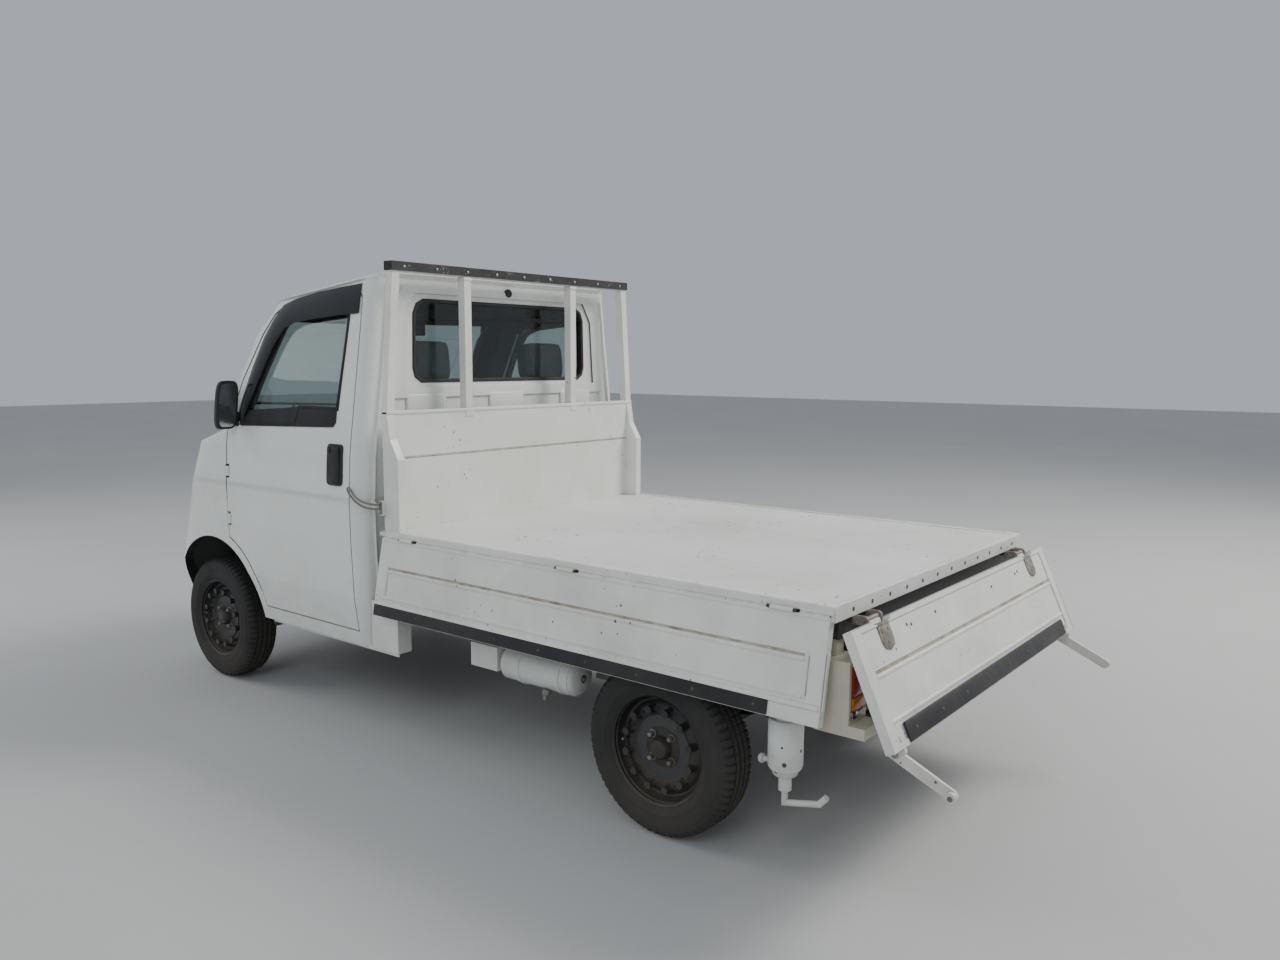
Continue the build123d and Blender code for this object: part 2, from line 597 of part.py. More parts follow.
# Load bed
DECK_FRONT = DECK_LENGTH + 40.0
DECK_LIP = 12.0      # thickness of the deck's rear edge strip
REBATE_EASE = 4.0
deck_seat_x = DECK_LENGTH - GUSSET_REACH - REBATE_EASE
deck = block(0, deck_seat_x, -DECK_HALF, DECK_HALF, DECK_TOP - DECK_THICK, DECK_TOP)
deck = deck + block(
    deck_seat_x, DECK_FRONT, -DECK_HALF, DECK_HALF, DECK_TOP - DECK_THICK, DECK_TOP - HEAD_REBATE
)
deck = deck + block(0, DECK_LIP, -DECK_HALF, DECK_HALF, DECK_TOP - TAIL_STRIP, DECK_TOP)
head_low = DECK_TOP - HEAD_REBATE + SEAT
BEARER_H = 55.0
BEARER_W = 50.0
BEARER_XS = [420.0, 900.0, 1300.0, DECK_LENGTH - 60.0]
BEAM_X0 = DECK_LIP + 2.0
BEAM_X1 = 60.0
BEAM_H = 100.0
under_deck = DECK_TOP - DECK_THICK - SEAT
side_rail_low = under_deck - SIDE_RAIL_H
side_rail = block(BEAM_X0, DECK_FRONT, SIDE_RAIL_Y, SIDE_RAIL_Y + SIDE_RAIL_W, side_rail_low, under_deck)
bearers = [
    block(
        x, x + BEARER_W, -SIDE_RAIL_Y + SEAT, SIDE_RAIL_Y - SEAT, under_deck - BEARER_H, under_deck
    ) for x in BEARER_XS
]
rear_beam = block(
    BEAM_X0, BEAM_X1, -SIDE_RAIL_Y + SEAT, SIDE_RAIL_Y - SEAT, under_deck - BEAM_H, under_deck
)

# Gate hinges: ears on the bed carry a pin, and the gate's knuckle turns on it
GATE_HINGE_Y = DECK_HALF + 8.0
GATE_HINGE_Z = under_deck - 2.7
GATE_HINGE_XS = [
    GATE_REAR_X + HINGE_END, GATE_REAR_X + GATE_LENGTH / 2, GATE_REAR_X + GATE_LENGTH - HINGE_END
]
TAIL_HINGE_X = TAIL_TOP_X + 5.0
TAIL_HINGE_Z = DECK_TOP - TAIL_STRIP - SEAT - HINGE_KNUCKLE_R
EAR_X = HINGE_HALF + EAR_W / 2 + 1.0
NOTCH_HALF = HINGE_HALF + EAR_W + PANEL_GAP

side_ears = []
for hx in GATE_HINGE_XS:
    pin = rod(hx, GATE_HINGE_Y, GATE_HINGE_Z, HINGE_PIN_R, 2 * (HINGE_HALF + EAR_W), "X")
    for side in (-1, 1):
        x = hx + side * EAR_X
        pin = pin + block(
            x - EAR_W / 2, x + EAR_W / 2, SIDE_RAIL_Y + SIDE_RAIL_W - 5, GATE_HINGE_Y + 3, GATE_HINGE_Z - 3,
            under_deck
        )
    side_ears.append(pin)
tail_ears = []
for hy in (-TAIL_HINGE_Y, TAIL_HINGE_Y):
    pin = rod(TAIL_HINGE_X, hy, TAIL_HINGE_Z, HINGE_PIN_R, 2 * (HINGE_HALF + EAR_W), "Y")
    for side in (-1, 1):
        y = hy + side * EAR_X
        pin = pin + block(
            TAIL_HINGE_X - 4, 30, y - EAR_W / 2, y + EAR_W / 2, TAIL_HINGE_Z - 5, TAIL_HINGE_Z + 5
        )
    tail_ears.append(pin)
bed_left_rail = side_rail
for piece in side_ears:
    bed_left_rail = bed_left_rail + piece
for piece in tail_ears:
    rear_beam = rear_beam + piece
bed_bearers = Compound(bearers + [rear_beam, bed_left_rail, other_side(bed_left_rail)])

# Headboard: creased panel, four upright bars, top bar, side gussets and latch hooks
CREASE_HALF = 4.0
CREASE_DEPTH = 3.0
crease = block(
    HEAD_X, HEAD_X + CREASE_DEPTH, -HEAD_LOW_HALF, HEAD_LOW_HALF, CREASE_Z - CREASE_HALF,
    CREASE_Z + CREASE_HALF
)
panel = block(HEAD_X, HEAD_X + PANEL_THICK, -HEAD_LOW_HALF, HEAD_LOW_HALF, head_low, PANEL_TOP) - crease
bar_top = HEAD_TOP - BAR_W
bar_mid = block(HEAD_X, HEAD_X + BAR_W, BAR_Y - BAR_W / 2, BAR_Y + BAR_W / 2, PANEL_TOP - 5, bar_top + 2)
post = along(
    [
        (HEAD_LOW_HALF - BAR_W, PANEL_TOP - 30), (HEAD_LOW_HALF, PANEL_TOP - 30),
        (HEAD_TOP_HALF, bar_top + 2), (HEAD_TOP_HALF - BAR_W, bar_top + 2),
    ],
    HEAD_X, HEAD_X + BAR_W,
)
top_bar = block(HEAD_X, HEAD_X + BAR_W, -HEAD_TOP_HALF, HEAD_TOP_HALF, bar_top, HEAD_TOP - 4)
GUSSET_W = 32.0
GUSSET_TOP = 1108.0
gusset = across(
    [
        (HEAD_X + 10, head_low), (HEAD_X - GUSSET_REACH, head_low), (HEAD_X - GUSSET_REACH, CREASE_Z),
        (HEAD_X - 16, GUSSET_TOP), (HEAD_X, PANEL_TOP), (HEAD_X + 10, PANEL_TOP),
    ],
    HEAD_LOW_HALF - GUSSET_W, HEAD_LOW_HALF,
)
HOOK_Z = 834.0
HOOK_BASE_H = 52.0
HOOK_OUT = 15.0      # reach beside the panel, short of the closed gate
HOOK_T = 10.0
HOOK_RUN = 58.0
HOOK_RISE = 46.0
hook_x = HEAD_X + GATE_PAST + PANEL_GAP
hook_y = HEAD_LOW_HALF + HOOK_OUT
hook = block(
    HEAD_X + PANEL_THICK - HOOK_T, hook_x + HOOK_T, HEAD_LOW_HALF - HOOK_T, hook_y, HOOK_Z,
    HOOK_Z + HOOK_BASE_H
)
hook = hook + across(
    [
        (hook_x, HOOK_Z), (hook_x + HOOK_RUN, HOOK_Z + HOOK_RISE),
        (hook_x + HOOK_RUN, HOOK_Z + HOOK_RISE + HOOK_T),
        (hook_x, HOOK_Z + HOOK_T),
    ],
    hook_y - HOOK_T, hook_y,
)
headboard = panel + top_bar
for piece in (bar_mid, post, gusset, hook):
    headboard = headboard + piece + other_side(piece)

GUARD_T = 6.0
guard_half = HEAD_TOP_HALF + 4.0
guard_over = HEAD_TOP - 4 + SEAT
headboard_guard = block(
    HEAD_X - GUARD_T, HEAD_X + BAR_W + GUARD_T, -guard_half, guard_half, HEAD_TOP - 30, HEAD_TOP + 2
)
headboard_guard = headboard_guard - block(
    HEAD_X - SEAT, HEAD_X + BAR_W + SEAT, -HEAD_TOP_HALF - SEAT, HEAD_TOP_HALF + SEAT, HEAD_TOP - 60,
    guard_over
)

# Side gates, drawn hanging. The face that shows is the inner face of the closed gate.
GATE_RIB_Z = 100.0   # groove below the gate's top edge
GATE_RIB_W = 12.0
GATE_RIB_DEPTH = 3.0
GATE_RIB_X = 57.0    # groove's start from the gate's rear end
GATE_RIB_SHORT = 111.0
GATE_FRAME = 40.0    # rim left round the recess of the hidden face
GATE_FRAME_TOP = 35.0
GATE_RECESS = 6.0
inward = (Align.MIN, Align.MAX, Align.MAX)
gate_flat = Box(GATE_LENGTH, GATE_THICK, GATE_HEIGHT, align=inward)
groove = Pos(GATE_RIB_X, 1, -GATE_RIB_Z) * Box(
    GATE_LENGTH - GATE_RIB_SHORT, GATE_RIB_DEPTH + 1, GATE_RIB_W, align=inward
)
recess = Pos(GATE_FRAME, GATE_RECESS - GATE_THICK, -GATE_FRAME_TOP) * Box(
    GATE_LENGTH - 2 * GATE_FRAME, 2 * GATE_RECESS, GATE_HEIGHT - GATE_FRAME_TOP - GATE_FRAME, align=inward
)
gate_left = Pos(
    GATE_REAR_X, DECK_HALF + GATE_OUT, GATE_TOP
) * Rot(GATE_LEAN, 0, 0) * (gate_flat - groove - recess)
for hx in GATE_HINGE_XS:
    notch = block(
        hx - NOTCH_HALF, hx + NOTCH_HALF, SIDE_RAIL_Y, GATE_HINGE_Y + 30, GATE_TOP - EAR_NOTCH, DECK_TOP
    )
    tab = block(
        hx - HINGE_HALF, hx + HINGE_HALF, GATE_HINGE_Y - 6, GATE_HINGE_Y, GATE_TOP - 22, GATE_HINGE_Z
    )
    knuckle = tab + rod(hx, GATE_HINGE_Y, GATE_HINGE_Z, HINGE_KNUCKLE_R, 2 * HINGE_HALF, "X")
    knuckle = knuckle - rod(hx, GATE_HINGE_Y, GATE_HINGE_Z, HINGE_BORE_R, 2 * HINGE_HALF + 2, "X")
    gate_left = gate_left - notch + knuckle

# Tailgate, drawn hanging, with its levers
# Its thickness lies rearward of the plane through its top edge, and the recessed face looks rearward.
TAIL_RIM = 45.0      # flat end of the tailgate beside its recessed face
TAIL_EDGE = 14.0
TAIL_RECESS = 4.0
TAIL_RIB_Z = 112.0
TAB_DEPTH = 60.0     # reach of the hinge's strap down the tailgate
TAB_T = 8.0
tail_inner = 2 * (TAIL_HALF - TAIL_RIM)
rearward = (Align.MAX, Align.CENTER, Align.MAX)
tail_flat = Box(GATE_THICK, 2 * TAIL_HALF, TAIL_HEIGHT, align=rearward)
tail_face = Pos(TAIL_RECESS - GATE_THICK, 0, -TAIL_EDGE) * Box(
    2 * TAIL_RECESS, tail_inner, TAIL_HEIGHT - 2 * TAIL_EDGE, align=rearward
)
tail_groove = Pos(2 * TAIL_RECESS - GATE_THICK, 0, -TAIL_RIB_Z) * Box(
    2 * TAIL_RECESS, tail_inner, GATE_RIB_W, align=rearward
)
tail_place = Pos(TAIL_TOP_X, 0, TAIL_TOP_Z) * Rot(0, TAIL_LEAN, 0)
tailgate = tail_place * (tail_flat - tail_face - tail_groove)
lean = math.radians(TAIL_LEAN)
LEVER_DROP = 13.0    # lever's root below the tailgate's low edge
LEVER_W = 30.0
LEVER_T = 10.0
LEVER_PAST = 8.0
ROLLER_R = 14.0
ROLLER_W = 24.0
lever_x = TAIL_TOP_X - TAIL_HEIGHT * math.sin(lean)
lever_z = TAIL_TOP_Z - TAIL_HEIGHT * math.cos(lean) - LEVER_DROP
lever = Pos(lever_x, LEVER_Y, lever_z) * Rot(0, -LEVER_SLOPE, 0) * Pos(LEVER_PAST - LEVER_LENGTH / 2, 0, 0) * Box(
    LEVER_LENGTH + 2 * LEVER_PAST, LEVER_T, LEVER_W
)
lug = tail_place * Pos(0, LEVER_Y, LEVER_W - TAIL_HEIGHT) * Box(
    GATE_THICK, LEVER_T, LEVER_W + LEVER_DROP, align=rearward
)
lever = lever + lug
slope = math.radians(LEVER_SLOPE)
tip_x = lever_x - LEVER_LENGTH * math.cos(slope)
tip_z = lever_z - LEVER_LENGTH * math.sin(slope)
lever = lever + rod(tip_x, LEVER_Y + ROLLER_W / 3, tip_z, ROLLER_R, ROLLER_W, "Y")
tailgate = tailgate + lever + other_side(lever)
for hy in (-TAIL_HINGE_Y, TAIL_HINGE_Y):
    notch = tail_place * Pos(0, hy, 0) * Box(4 * GATE_THICK, 2 * NOTCH_HALF, 2 * EAR_NOTCH)
    tab = tail_place * Pos(0, hy, HINGE_KNUCKLE_R - TAB_DEPTH / 2) * Box(TAB_T, 2 * HINGE_HALF, TAB_DEPTH)
    knuckle = tab + rod(TAIL_HINGE_X, hy, TAIL_HINGE_Z, HINGE_KNUCKLE_R, 2 * HINGE_HALF, "Y")
    knuckle = knuckle - rod(TAIL_HINGE_X, hy, TAIL_HINGE_Z, HINGE_BORE_R, 2 * HINGE_HALF + 2, "Y")
    tailgate = tailgate - notch + knuckle

# Chassis
RAIL_REAR = 40.0
RAIL_BEND_0 = CAB_REAR - 560.0
RAIL_BEND_1 = CAB_REAR - 260.0
RAIL_FRONT = FRONT_AXLE_X + 90.0
rail = across(
    [
        (RAIL_REAR, RAIL_TOP), (RAIL_BEND_0, RAIL_TOP), (RAIL_BEND_1, RAIL_LOW_TOP),
        (RAIL_FRONT, RAIL_LOW_TOP),
        (RAIL_FRONT, RAIL_LOW_TOP - RAIL_H), (RAIL_BEND_1 - 20, RAIL_LOW_TOP - RAIL_H),
        (RAIL_BEND_0 - 20, RAIL_TOP - RAIL_H), (RAIL_REAR, RAIL_TOP - RAIL_H),
    ],
    RAIL_Y - RAIL_W / 2, RAIL_Y + RAIL_W / 2,
)
frame_rails = both_sides(rail)
rail_in = RAIL_Y - RAIL_W / 2 - SEAT
rail_out = RAIL_Y + RAIL_W / 2 + SEAT
CROSS_W = 50.0
CROSS_DROP = 15.0
CROSS_H = 60.0
# columns: x, height of the rail's top there
CROSS_ROWS = [
    (70.0, RAIL_TOP), (250.0, RAIL_TOP), (RAIL_BEND_0 - 100.0, RAIL_TOP),
    (RAIL_BEND_1 + 60.0, RAIL_LOW_TOP),
    (CAB_REAR + 250.0, RAIL_LOW_TOP), (FRONT_AXLE_X - 290.0, RAIL_LOW_TOP),
]
cross_members = [
    block(x, x + CROSS_W, -rail_in, rail_in, top - CROSS_DROP - CROSS_H, top - CROSS_DROP) for x,
    top in CROSS_ROWS
]
# Bed posts stand on the rails and carry the bearers
POST_IN = 10.0       # post's rear face in front of the bearer's
POST_X = 30.0
POST_Y = 40.0
for x, low in ((BEARER_XS[0] + POST_IN, RAIL_TOP), (BEARER_XS[-1] + POST_IN, RAIL_LOW_TOP)):
    post_leg = block(
        x, x + POST_X, RAIL_Y - POST_Y / 2, RAIL_Y + POST_Y / 2, low + SEAT, under_deck - BEARER_H - SEAT
    )
    cross_members += [post_leg, other_side(post_leg)]
cross_members = Compound(cross_members)
cross_low = RAIL_TOP - CROSS_DROP - CROSS_H - SEAT

# Engine with its gearbox, under the bed in front of the rear axle
ENGINE_GAP = 128.0
ENGINE_X0 = REAR_AXLE_X + ENGINE_GAP
ENGINE_LENGTH = 500.0
ENGINE_HALF = 235.0
ENGINE_Z0 = 240.0
ENGINE_Z1 = 530.0
engine = block(ENGINE_X0, ENGINE_X0 + ENGINE_LENGTH, -ENGINE_HALF, ENGINE_HALF, ENGINE_Z0, ENGINE_Z1)
ENGINE_MOUNT_R = 18.0
MOUNT_RISE = 20.0    # mount's axis over the rails' underside
engine = engine + rod(
    ENGINE_X0 + ENGINE_LENGTH / 2, 0, RAIL_TOP - RAIL_H + MOUNT_RISE, ENGINE_MOUNT_R, 2 * rail_in, "Y"
)

TANK_FRONT = CAB_REAR - 148.0
TANK_LENGTH = 420.0
TANK_OUT = 620.0
TANK_Z0 = 330.0
TANK_Z1 = 540.0
TANK_ROUND = 30.0
fuel_tank = block(TANK_FRONT - TANK_LENGTH, TANK_FRONT, -TANK_OUT, -rail_out, TANK_Z0, TANK_Z1)
fuel_tank = fillet(fuel_tank.edges().filter_by(Axis.X), TANK_ROUND)

MUFFLER_R = 70.0
MUFFLER_LENGTH = 380.0
MUFFLER_Z = 330.0
muffler_x = CROSS_ROWS[1][0] + CROSS_W / 2
muffler = rod(muffler_x, 0, MUFFLER_Z, MUFFLER_R, MUFFLER_LENGTH, "Y")
STRAP_Y = 110.0
STRAP_W = 24.0
STRAP_T = 8.0
STRAP_SUNK = 6.0
strap_low = MUFFLER_Z + MUFFLER_R - STRAP_SUNK
for y in (-STRAP_Y, STRAP_Y):
    muffler = muffler + block(
        muffler_x - STRAP_W / 2, muffler_x + STRAP_W / 2, y - STRAP_T / 2, y + STRAP_T / 2, strap_low,
        cross_low
    )

CANISTER_R = 61.0
CANISTER_Y = 579.0
CANISTER_Z = 371.0
CANISTER_LENGTH = 300.0
CANISTER_GAP = 140.0     # canister's rear end in front of the tyre
VALVE_GAP = 16.0
VALVE_X = 130.0
VALVE_Y = 100.0
VALVE_H = 82.0
VALVE_Y0 = 540.0
VALVE_Z0 = 344.0
PIPE_R = 20.0
PIPE_LENGTH = 60.0
PIPE_X = 10.0         # pipe middle from the canister front end
BRACKET_X0 = 60.0        # bracket's rear and front face behind the canister's front end
BRACKET_X1 = 30.0
BRACKET_H = 30.0
BRACKET_T = 8.0
BRACKET_RISE = 20.0
canister_x = REAR_AXLE_X + TYRE_R + CANISTER_GAP
canister = rod(canister_x + CANISTER_LENGTH / 2, CANISTER_Y, CANISTER_Z, CANISTER_R, CANISTER_LENGTH, "X")
canister_front = canister_x + CANISTER_LENGTH
valve_x = canister_front + VALVE_GAP
valve_box = block(valve_x, valve_x + VALVE_X, VALVE_Y0, VALVE_Y0 + VALVE_Y, VALVE_Z0, VALVE_Z0 + VALVE_H)
pipe = rod(canister_front + PIPE_X, CANISTER_Y, CANISTER_Z, PIPE_R, PIPE_LENGTH, "X")
bracket_x0 = canister_front - BRACKET_X0
bracket_x1 = canister_front - BRACKET_X1
bracket_low = CANISTER_Z - BRACKET_H / 2
arm_out = block(bracket_x0, bracket_x1, rail_out, CANISTER_Y, bracket_low, bracket_low + BRACKET_H)
arm_up = block(bracket_x0, bracket_x1, rail_out, rail_out + BRACKET_T, bracket_low, RAIL_TOP - BRACKET_RISE)
air_canister = canister + valve_box + pipe + arm_out + arm_up

# Rear axle and front knuckles, with their brake drums
DISC_OUT = 30.0
DISC_T = 8.0
DRUM_R = 98.0
DRUM_W = 70.0
DRUM_END = TRACK_HALF + DISC_OUT - DISC_T / 2 - SEAT
SPRING_Y = 415.0
SPRING_W = 50.0
SPRING_HALF = 480.0
SPRING_T = 16.0
AXLE_R = 32.0
DIFF_R = 100.0
# columns: distance from the truck's middle, radius of the differential's casing
DIFF_ROWS = [(-92.0, 38.0), (-60.0, 80.0), (-22.0, DIFF_R), (22.0, DIFF_R), (60.0, 80.0), (92.0, 38.0)]
DIFF_SIDES = 24
spring_end_z = RAIL_TOP - RAIL_H - 42.0
diff_casing = Pos(REAR_AXLE_X, 0, TYRE_R) * Rot(90, 0, 0) * many_sided(DIFF_ROWS, DIFF_SIDES)
AXLE_SHORT = 10.0
PINION_R = 30.0
PINION_RISE = 20.0
pinion_length = ENGINE_GAP - SEAT
rear_axle = rod(REAR_AXLE_X, 0, TYRE_R, AXLE_R, 2 * (DRUM_END - AXLE_SHORT)) + diff_casing
rear_axle = rear_axle + rod(
    REAR_AXLE_X + pinion_length / 2, 0, TYRE_R + PINION_RISE, PINION_R, pinion_length, "X"
)
drum = rod(REAR_AXLE_X, DRUM_END - DRUM_W / 2, TYRE_R, DRUM_R, DRUM_W)
rear_axle = rear_axle + drum + other_side(drum)
spring = across(
    [
        (REAR_AXLE_X - SPRING_HALF, spring_end_z), (REAR_AXLE_X, TYRE_R + AXLE_R + SEAT),
        (REAR_AXLE_X + SPRING_HALF, spring_end_z), (REAR_AXLE_X + SPRING_HALF, spring_end_z + SPRING_T),
        (REAR_AXLE_X, TYRE_R + AXLE_R + 2 * SPRING_T), (REAR_AXLE_X - SPRING_HALF, spring_end_z + SPRING_T),
    ],
    SPRING_Y - SPRING_W / 2, SPRING_Y + SPRING_W / 2,
)
SHACKLE_HALF = 15.0
SHACKLE_DROP = 7.0
SHACKLE_RISE = 20.0
shackle_top = RAIL_TOP - RAIL_H + SHACKLE_RISE
for dx in (SHACKLE_HALF - SPRING_HALF, SPRING_HALF - SHACKLE_HALF):
    eye_x = REAR_AXLE_X + dx
    spring = spring + block(
        eye_x - SHACKLE_HALF, eye_x + SHACKLE_HALF, rail_out, SPRING_Y + SPRING_W / 2,
        spring_end_z - SHACKLE_DROP,
        shackle_top,
    )

ARM_Z = 178.0
ARM_T = 22.0
ARM_HALF_X = 28.0
ARM_ROOT = 40.0      # arm's inner end outside the rail's middle
ARM_PAST = 10.0
HANGER_HALF_X = 25.0
HANGER_IN = 30.0
HANGER_OUT = 45.0
arm = block(
    FRONT_AXLE_X - ARM_HALF_X, FRONT_AXLE_X + ARM_HALF_X, RAIL_Y + ARM_ROOT, KINGPIN_Y + ARM_PAST, ARM_Z,
    ARM_Z + ARM_T
)
hanger = block(
    FRONT_AXLE_X - HANGER_HALF_X, FRONT_AXLE_X + HANGER_HALF_X, RAIL_Y - HANGER_IN, RAIL_Y + HANGER_OUT,
    ARM_Z, RAIL_LOW_TOP - RAIL_H - SEAT,
)

strut_reach = FRONT_AXLE_X - ARCH_X + STRUT_R
STRUT_TOP = ARCH_Z + math.sqrt(ARCH_R ** 2 - strut_reach ** 2) - SEAT
strut_low = ARM_Z + ARM_T + SEAT
FRONT_DRUM_R = DRUM_R - 8.0
UPRIGHT_HALF = 20.0
UPRIGHT_LAP = 10.0
UPRIGHT_LOW = 45.0
UPRIGHT_HIGH = 40.0
knuckle_left = rod(FRONT_AXLE_X, DRUM_END - DRUM_W / 2, TYRE_R, FRONT_DRUM_R, DRUM_W)
knuckle_left = knuckle_left + block(
    FRONT_AXLE_X - UPRIGHT_HALF, FRONT_AXLE_X + UPRIGHT_HALF, KINGPIN_Y - STRUT_R,
    DRUM_END - DRUM_W + UPRIGHT_LAP,
    TYRE_R - UPRIGHT_LOW, TYRE_R + UPRIGHT_HIGH,
)
knuckle_left = knuckle_left + Pos(FRONT_AXLE_X, KINGPIN_Y, (STRUT_TOP + strut_low) / 2) * Cylinder(
    STRUT_R, STRUT_TOP - strut_low
)

# Rear lamp housings hang from the side rails behind the gates
REAR_LAMP_X = -35.0
REAR_LAMP_FRONT = 62.0
REAR_LAMP_Y0 = 590.0
REAR_LAMP_Y1 = 686.0
REAR_LAMP_Z0 = 447.0
REAR_LAMP_Z1 = 640.0
LENS_DEPTH = 6.0
LENS_RIM = 12.0
LENS_LOW = 40.0
SHELF_REACH = 45.0
SHELF_T = 30.0
LAMP_HANGER_X = 40.0
LAMP_HANGER_IN = 5.0
LAMP_HANGER_LAP = 20.0
lamp_case = block(REAR_LAMP_X, REAR_LAMP_FRONT, REAR_LAMP_Y0, REAR_LAMP_Y1, REAR_LAMP_Z0, REAR_LAMP_Z1)
lamp_lens = block(
    REAR_LAMP_X, REAR_LAMP_X + LENS_DEPTH, REAR_LAMP_Y0 + LENS_RIM, REAR_LAMP_Y1 - LENS_RIM,
    REAR_LAMP_Z0 + LENS_LOW, REAR_LAMP_Z1 - LENS_RIM,
)
lamp_shelf = block(
    REAR_LAMP_X - SHELF_REACH, REAR_LAMP_X + 2, REAR_LAMP_Y0, REAR_LAMP_Y1, REAR_LAMP_Z0,
    REAR_LAMP_Z0 + SHELF_T
)
lamp_hanger = block(
    REAR_LAMP_FRONT - LAMP_HANGER_X, REAR_LAMP_FRONT, SIDE_RAIL_Y + LAMP_HANGER_IN,
    SIDE_RAIL_Y + SIDE_RAIL_W - LAMP_HANGER_IN, REAR_LAMP_Z1 - LAMP_HANGER_LAP, side_rail_low - SEAT,
)
lamp_housing = lamp_case - lamp_lens + lamp_shelf + lamp_hanger
rear_lamps = both_sides(lamp_housing)

# Prop leg at the rear left corner: a tube with a sliding rod and its hooked foot
JACK_X = 166.0
JACK_Y = 648.0
JACK_R = 46.0
JACK_NECK_R = 34.0     # upper part, inside the hanging gate
JACK_SHOULDER = 440.0
JACK_LOW = 308.0
JACK_FIT = 0.3
JACK_CAP = 20.0
LEG_R = 18.0
LEG_LOW = 242.0
LEG_SPARE = 4.0        # gap over the leg inside its tube
FOOT_R = 9.0
FOOT_SIDES = 12
FOOT_Z = 205.0
FOOT_REACH = 104.0
FOOT_RISE = 24.0
FOOT_TIP = 22.0
jack_top = side_rail_low - SEAT


def upright(radius, low, high):
    """Returns a round bar of the prop leg between two heights."""
    return Pos(JACK_X, JACK_Y, (low + high) / 2) * Cylinder(radius, high - low)


jack_bore_top = jack_top - JACK_CAP
jack_tube = upright(JACK_NECK_R, JACK_LOW, jack_top) + upright(JACK_R, JACK_LOW, JACK_SHOULDER)
jack_tube = jack_tube - upright(LEG_R + JACK_FIT, JACK_LOW - JACK_CAP, jack_bore_top)
foot_path = Polyline(
    (JACK_X, JACK_Y, LEG_LOW + FOOT_R), (JACK_X, JACK_Y, FOOT_Z),
    (JACK_X - FOOT_REACH, JACK_Y, FOOT_Z + FOOT_RISE),
    (JACK_X - FOOT_REACH - FOOT_TIP, JACK_Y, FOOT_Z + 2 * FOOT_RISE),
)
foot_face = Plane(origin=foot_path @ 0, z_dir=(0, 0, -1)) * RegularPolygon(FOOT_R, FOOT_SIDES)
jack_leg = upright(LEG_R, LEG_LOW, jack_bore_top - LEG_SPARE) + sweep(
    foot_face, path=foot_path, transition=Transition.RIGHT
)

# Tow eye under the rear cross member
TOW_R = 14.0
TOW_T = 12.0
TOW_X = 80.0
TOW_Z = 395.0
TOW_HALF = 28.0
TOW_DROP = 27.0
tow_plate = block(TOW_X - TOW_HALF, TOW_X + TOW_HALF, -TOW_T / 2, TOW_T / 2, TOW_Z - TOW_DROP, cross_low)
tow_eye = tow_plate - rod(TOW_X, 0, TOW_Z, TOW_R, 2 * TOW_T, "Y")

# Wheels
HOLE_COUNT = 12
HOLE_SIDES = 10
HOLE_R = 12.0
HOLE_RING = 120.0
HUB_R = 34.0
HUB_T = 24.0
BEAD_HALF = 55.0
# columns: distance from the tyre's middle plane, radius
TYRE_HALF_ROWS = [
    (TYRE_W / 2 - 4.0, RIM_R + 12.0), (TYRE_W / 2, TYRE_R - 62.0), (TYRE_W / 2 - 6.0, TYRE_R - 26.0),
    (TYRE_W / 2 - 20.0, TYRE_R - 5.0),
]
TYRE_ROWS = [(-a, r) for a, r in TYRE_HALF_ROWS] + [(0.0, TYRE_R)] + TYRE_HALF_ROWS[::-1]
DISC_FIT = 2.0


def wheel_tyre(x, y):
    body = many_sided(TYRE_ROWS, WHEEL_SIDES)
    body = body - many_sided([(-TYRE_W, RIM_R + 1), (TYRE_W, RIM_R + 1)], WHEEL_SIDES)
    return Pos(x, y, TYRE_R) * Rot(90, 0, 0) * body


def wheel_rim(x, y):
    barrel = many_sided([(-BEAD_HALF, RIM_R), (BEAD_HALF, RIM_R)], WHEEL_SIDES)
    barrel = barrel - many_sided([(-TYRE_W, RIM_R - RIM_WALL), (TYRE_W, RIM_R - RIM_WALL)], WHEEL_SIDES)
    disc_rows = [(-DISC_OUT - DISC_T / 2, RIM_R - DISC_FIT), (-DISC_OUT + DISC_T / 2, RIM_R - DISC_FIT)]
    disc = many_sided(disc_rows, WHEEL_SIDES)
    for step in range(HOLE_COUNT):
        turn = Rot(0, 0, 360 / HOLE_COUNT * step)
        disc = disc - turn * Pos(HOLE_RING, 0, 0) * many_sided(
            [(-TYRE_W, HOLE_R), (TYRE_W, HOLE_R)], HOLE_SIDES
        )
    centre = many_sided([(-DISC_OUT - HUB_T, HUB_R), (-DISC_OUT, HUB_R)], HOLE_SIDES * 2)
    side = 90 if y > 0 else -90
    return Pos(x, y, TYRE_R) * Rot(side, 0, 0) * (barrel + disc + centre)


